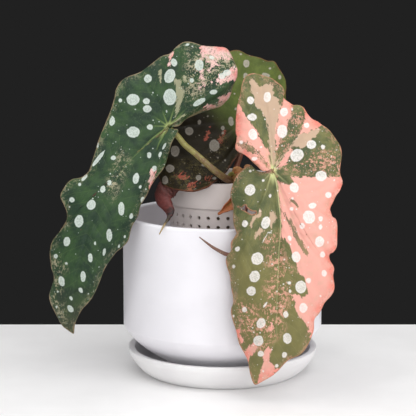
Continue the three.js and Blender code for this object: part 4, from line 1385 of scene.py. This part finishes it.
def pot_profile():
    """The outer pot's closed section: up the outside from the foot, over the rim and down inside."""
    inner = POT_RADIUS - POT_WALL
    foot, bend = POT_FOOT, POT_SHOULDER
    corners = [
        (POT_DRAIN_RADIUS, foot["recess"], 0.5),
        (foot["inner"], foot["recess"], 1),
        (foot["inner"], foot["base"], 0.8),
        (foot["radius"], foot["base"], 1),
        *shoulder(POT_RADIUS, bend["inset"], bend["top"], bend["drop"]),
        (POT_RADIUS, POT_TOP, 1.6),
        (inner, POT_TOP, 1.6),
        *reversed(shoulder(inner, bend["inner_inset"], bend["inner_top"], bend["inner_top"] - POT_FLOOR)),
        (POT_DRAIN_RADIUS, POT_FLOOR, 0.5),
    ]
    return ring(corners)


def ring(corners):
    """A closed section's corners, each bent into a curve."""
    wrapped = [(*corners[-1][:2], 0), *corners, (*corners[0][:2], 0)]
    return rounded(wrapped)[1:-1]


def soil_top():
    """The uneven face that crumbs are strewn on."""
    count = SOIL_TOP["sides"]
    rings = np.linspace(0.5, SOIL_TOP["radius"], SOIL_TOP["rings"])
    turns = np.arange(count) * 2 * math.pi / count
    points = []
    for radius in rings:
        fall = (radius / SOIL_TOP["radius"]) ** 4
        for turn in turns:
            x, y = radius * math.cos(turn), radius * math.sin(turn)
            bumps = 0.35 * math.sin(x * 0.45 + 1) + 0.35 * math.sin(y * 0.6) + 0.25 * math.sin((x + y) * 0.9)
            points.append((x, y, SOIL_TOP["height"] + bumps - fall))
    faces = [
        (i * count + k, (i + 1) * count + k, (i + 1) * count + (k + 1) % count, i * count + (k + 1) % count)
        for i in range(len(rings) - 1)
        for k in range(count)
    ]
    return points, faces


# ---- Building ----

pot_white = plain_finish("pot_white", "#edebf0", "#e7e5ea", 30, 0.32, 0.03)
saucer_white = plain_finish("saucer_white", "#edecec", "#e7e5e6", 30, 0.32, 0.03)
liner_white = plain_finish("liner_white", "#e6dcd8", "#dfd5d1", 30, 0.4, 0.02)
soil_brown = plain_finish("soil_brown", "#2b1f18", "#4a382b", 1.6, 0.95, 0.4)
soil_dry = plain_finish("soil_dry", "#6b5a49", "#86735e", 1.6, 0.95, 0.4)
rods = rod_growth()


def add(piece, node, slot):
    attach(piece, "root")
    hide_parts(node)


add(turned("saucer_turned", rounded(SAUCER_PROFILE), saucer_white), "saucer", "white_ceramic")
add(turned("outer_pot_turned", pot_profile(), pot_white, closed=True), "outer_pot", "white_ceramic")
liner = turned("inner_pot_perforated", rounded(LINER_PROFILE), liner_white)
perforation_growth().grow(liner, liner_white)
add(with_creases(liner), "inner_pot", "white_plastic")

add(turned("soil_body", rounded(SOIL_PROFILE), soil_dry), "soil", "potting_soil")
crumbs = mesh_object("soil_crumbs", *soil_top(), soil_brown)
crumb_growth().grow(crumbs, soil_brown)
add(crumbs, "soil", "potting_soil")

STEM = ("stem", "stem_green")
BACK = ("leaf_back", "leaf_olive")

stalks = {
    "cane": (np.array(CANE, float), "#6c672e", "#7a4a2e", STEM),
    "left_stalk": (seen_path(LEFT_STALK), "#694a30", "#8a8448", STEM),
    "back_stalk": (seen_path(BACK_STALK), "#6b3c2a", "#73402f", STEM),
    "right_stalk": (seen_path(RIGHT_STALK), "#6c672e", "#a3443a", STEM),
    "tendril": (seen_path(TENDRIL), "#8d4a42", "#6f4c3e", STEM),
    "dried_tail": (seen_path(DRIED_TIP[TIP_POINTS - 2 :]), "#2e2218", "#98835c", BACK),
}
for name, (path, start, end, belongs) in stalks.items():
    add(rod(name, path, rods, stalk_finish(name, start, end)), *belongs)

stipule_green = dried_finish("stipule_green", ("#6c672e", "#7f8544", "#8c8a4a", "#b08a52"))
stipule_brown = dried_finish("stipule_brown", ("#c88448", "#b8683a", "#cc9460", "#6d2f24"))
stipule_red = dried_finish("stipule_red", ("#8f8f45", "#9a8c48", "#b06a3c", "#a3443a"))
tip_brown = dried_finish("tip_brown", ("#48201a", "#5c2420", "#120d0c", "#7c3e38"))
add(thin_sheet("green_stipule", GREEN_STIPULE, stipule_green, 0.15), *STEM)
add(thin_sheet("crinkled_stipule", CRINKLED_STIPULE, stipule_brown, 0.6), *STEM)
add(thin_sheet("hanging_stipule", HANGING_STIPULE, stipule_red, 0.25), *STEM)
add(dried_tip("dried_tip", tip_brown), *BACK)

for side, shape, look, slot in (
    ("left", LEFT_LEAF, LEFT_LOOK, "leaf_green"),
    ("right", RIGHT_LEAF, RIGHT_LOOK, "leaf_pink"),
    ("back", BACK_LEAF, BACK_LOOK, "leaf_olive"),
):
    upper = leaf_finish(f"leaf_{side}_upper", look)
    under = underside_finish(f"leaf_{side}_under", look)
    add(blade(f"leaf_{side}_blade", shape, upper, under), f"leaf_{side}", slot)

# ---- Table, light and camera ----

TABLE_BACK = 119
TABLE = {"left": -600, "right": 600, "front": -700, "thick": 30}


def table():
    """A pale table top with its back edge just behind the pot."""
    finish = plain_finish("table_pale", "#f7f6f6", "#f2f1f1", 60, 0.5, 0.05)
    x0, x1, y0, y1 = TABLE["left"], TABLE["right"], TABLE["front"], TABLE_BACK
    points = [(x, y, z) for z in (-TABLE["thick"], 0) for x, y in ((x0, y0), (x1, y0), (x1, y1), (x0, y1))]
    faces = [(3, 2, 1, 0), (4, 5, 6, 7), (0, 1, 5, 4), (1, 2, 6, 5), (2, 3, 7, 6), (3, 0, 4, 7)]
    top = mesh_object("table_top", points, faces, finish)
    top.data.shade_flat()


# Lamps are (place, size, power), in metres and watts, and all face the middle of the plant.
LAMPS_FACE = (0, 0, 0.1)
LAMPS = {
    "key": ((0.4, -1.1, 1.1), 1.5, 11),
    "front": ((0.3, -1.4, 0.25), 1.2, 6),
    "left": ((-1, -0.5, 0.6), 1.4, 6),
    "right": ((1.1, -0.5, 0.4), 1.2, 6.5),
    "top": ((0, 0, 1.3), 1.6, 13),
}


def soft_light(name, place, size, power):
    lamp = bpy.data.lights.new(name, "AREA")
    lamp.shape = "DISK"
    lamp.size = size
    lamp.energy = power
    holder = shown(name, lamp)
    holder.location = place
    x, y, z = np.array(LAMPS_FACE) - place
    holder.rotation_euler = (math.atan2(math.hypot(x, y), -z), 0, math.atan2(y, x) - math.pi / 2)


def studio():
    world = bpy.data.worlds.new("dark_room")
    world.use_nodes = True
    world.node_tree.nodes["Background"].inputs["Color"].default_value = colour("#212121")
    bpy.context.scene.world = world
    for name, (place, size, power) in LAMPS.items():
        soft_light(name, place, size, power)
    camera = bpy.data.cameras.new("camera")
    camera.lens = VIEW_LENS
    camera.sensor_width = SENSOR
    holder = shown("camera", camera)
    holder.location = STATION * MM
    holder.rotation_euler = (math.pi / 2 - VIEW_PITCH, 0, 0)
    bpy.context.scene.camera = holder
    bpy.context.scene.view_settings.view_transform = "Standard"


table()
studio()
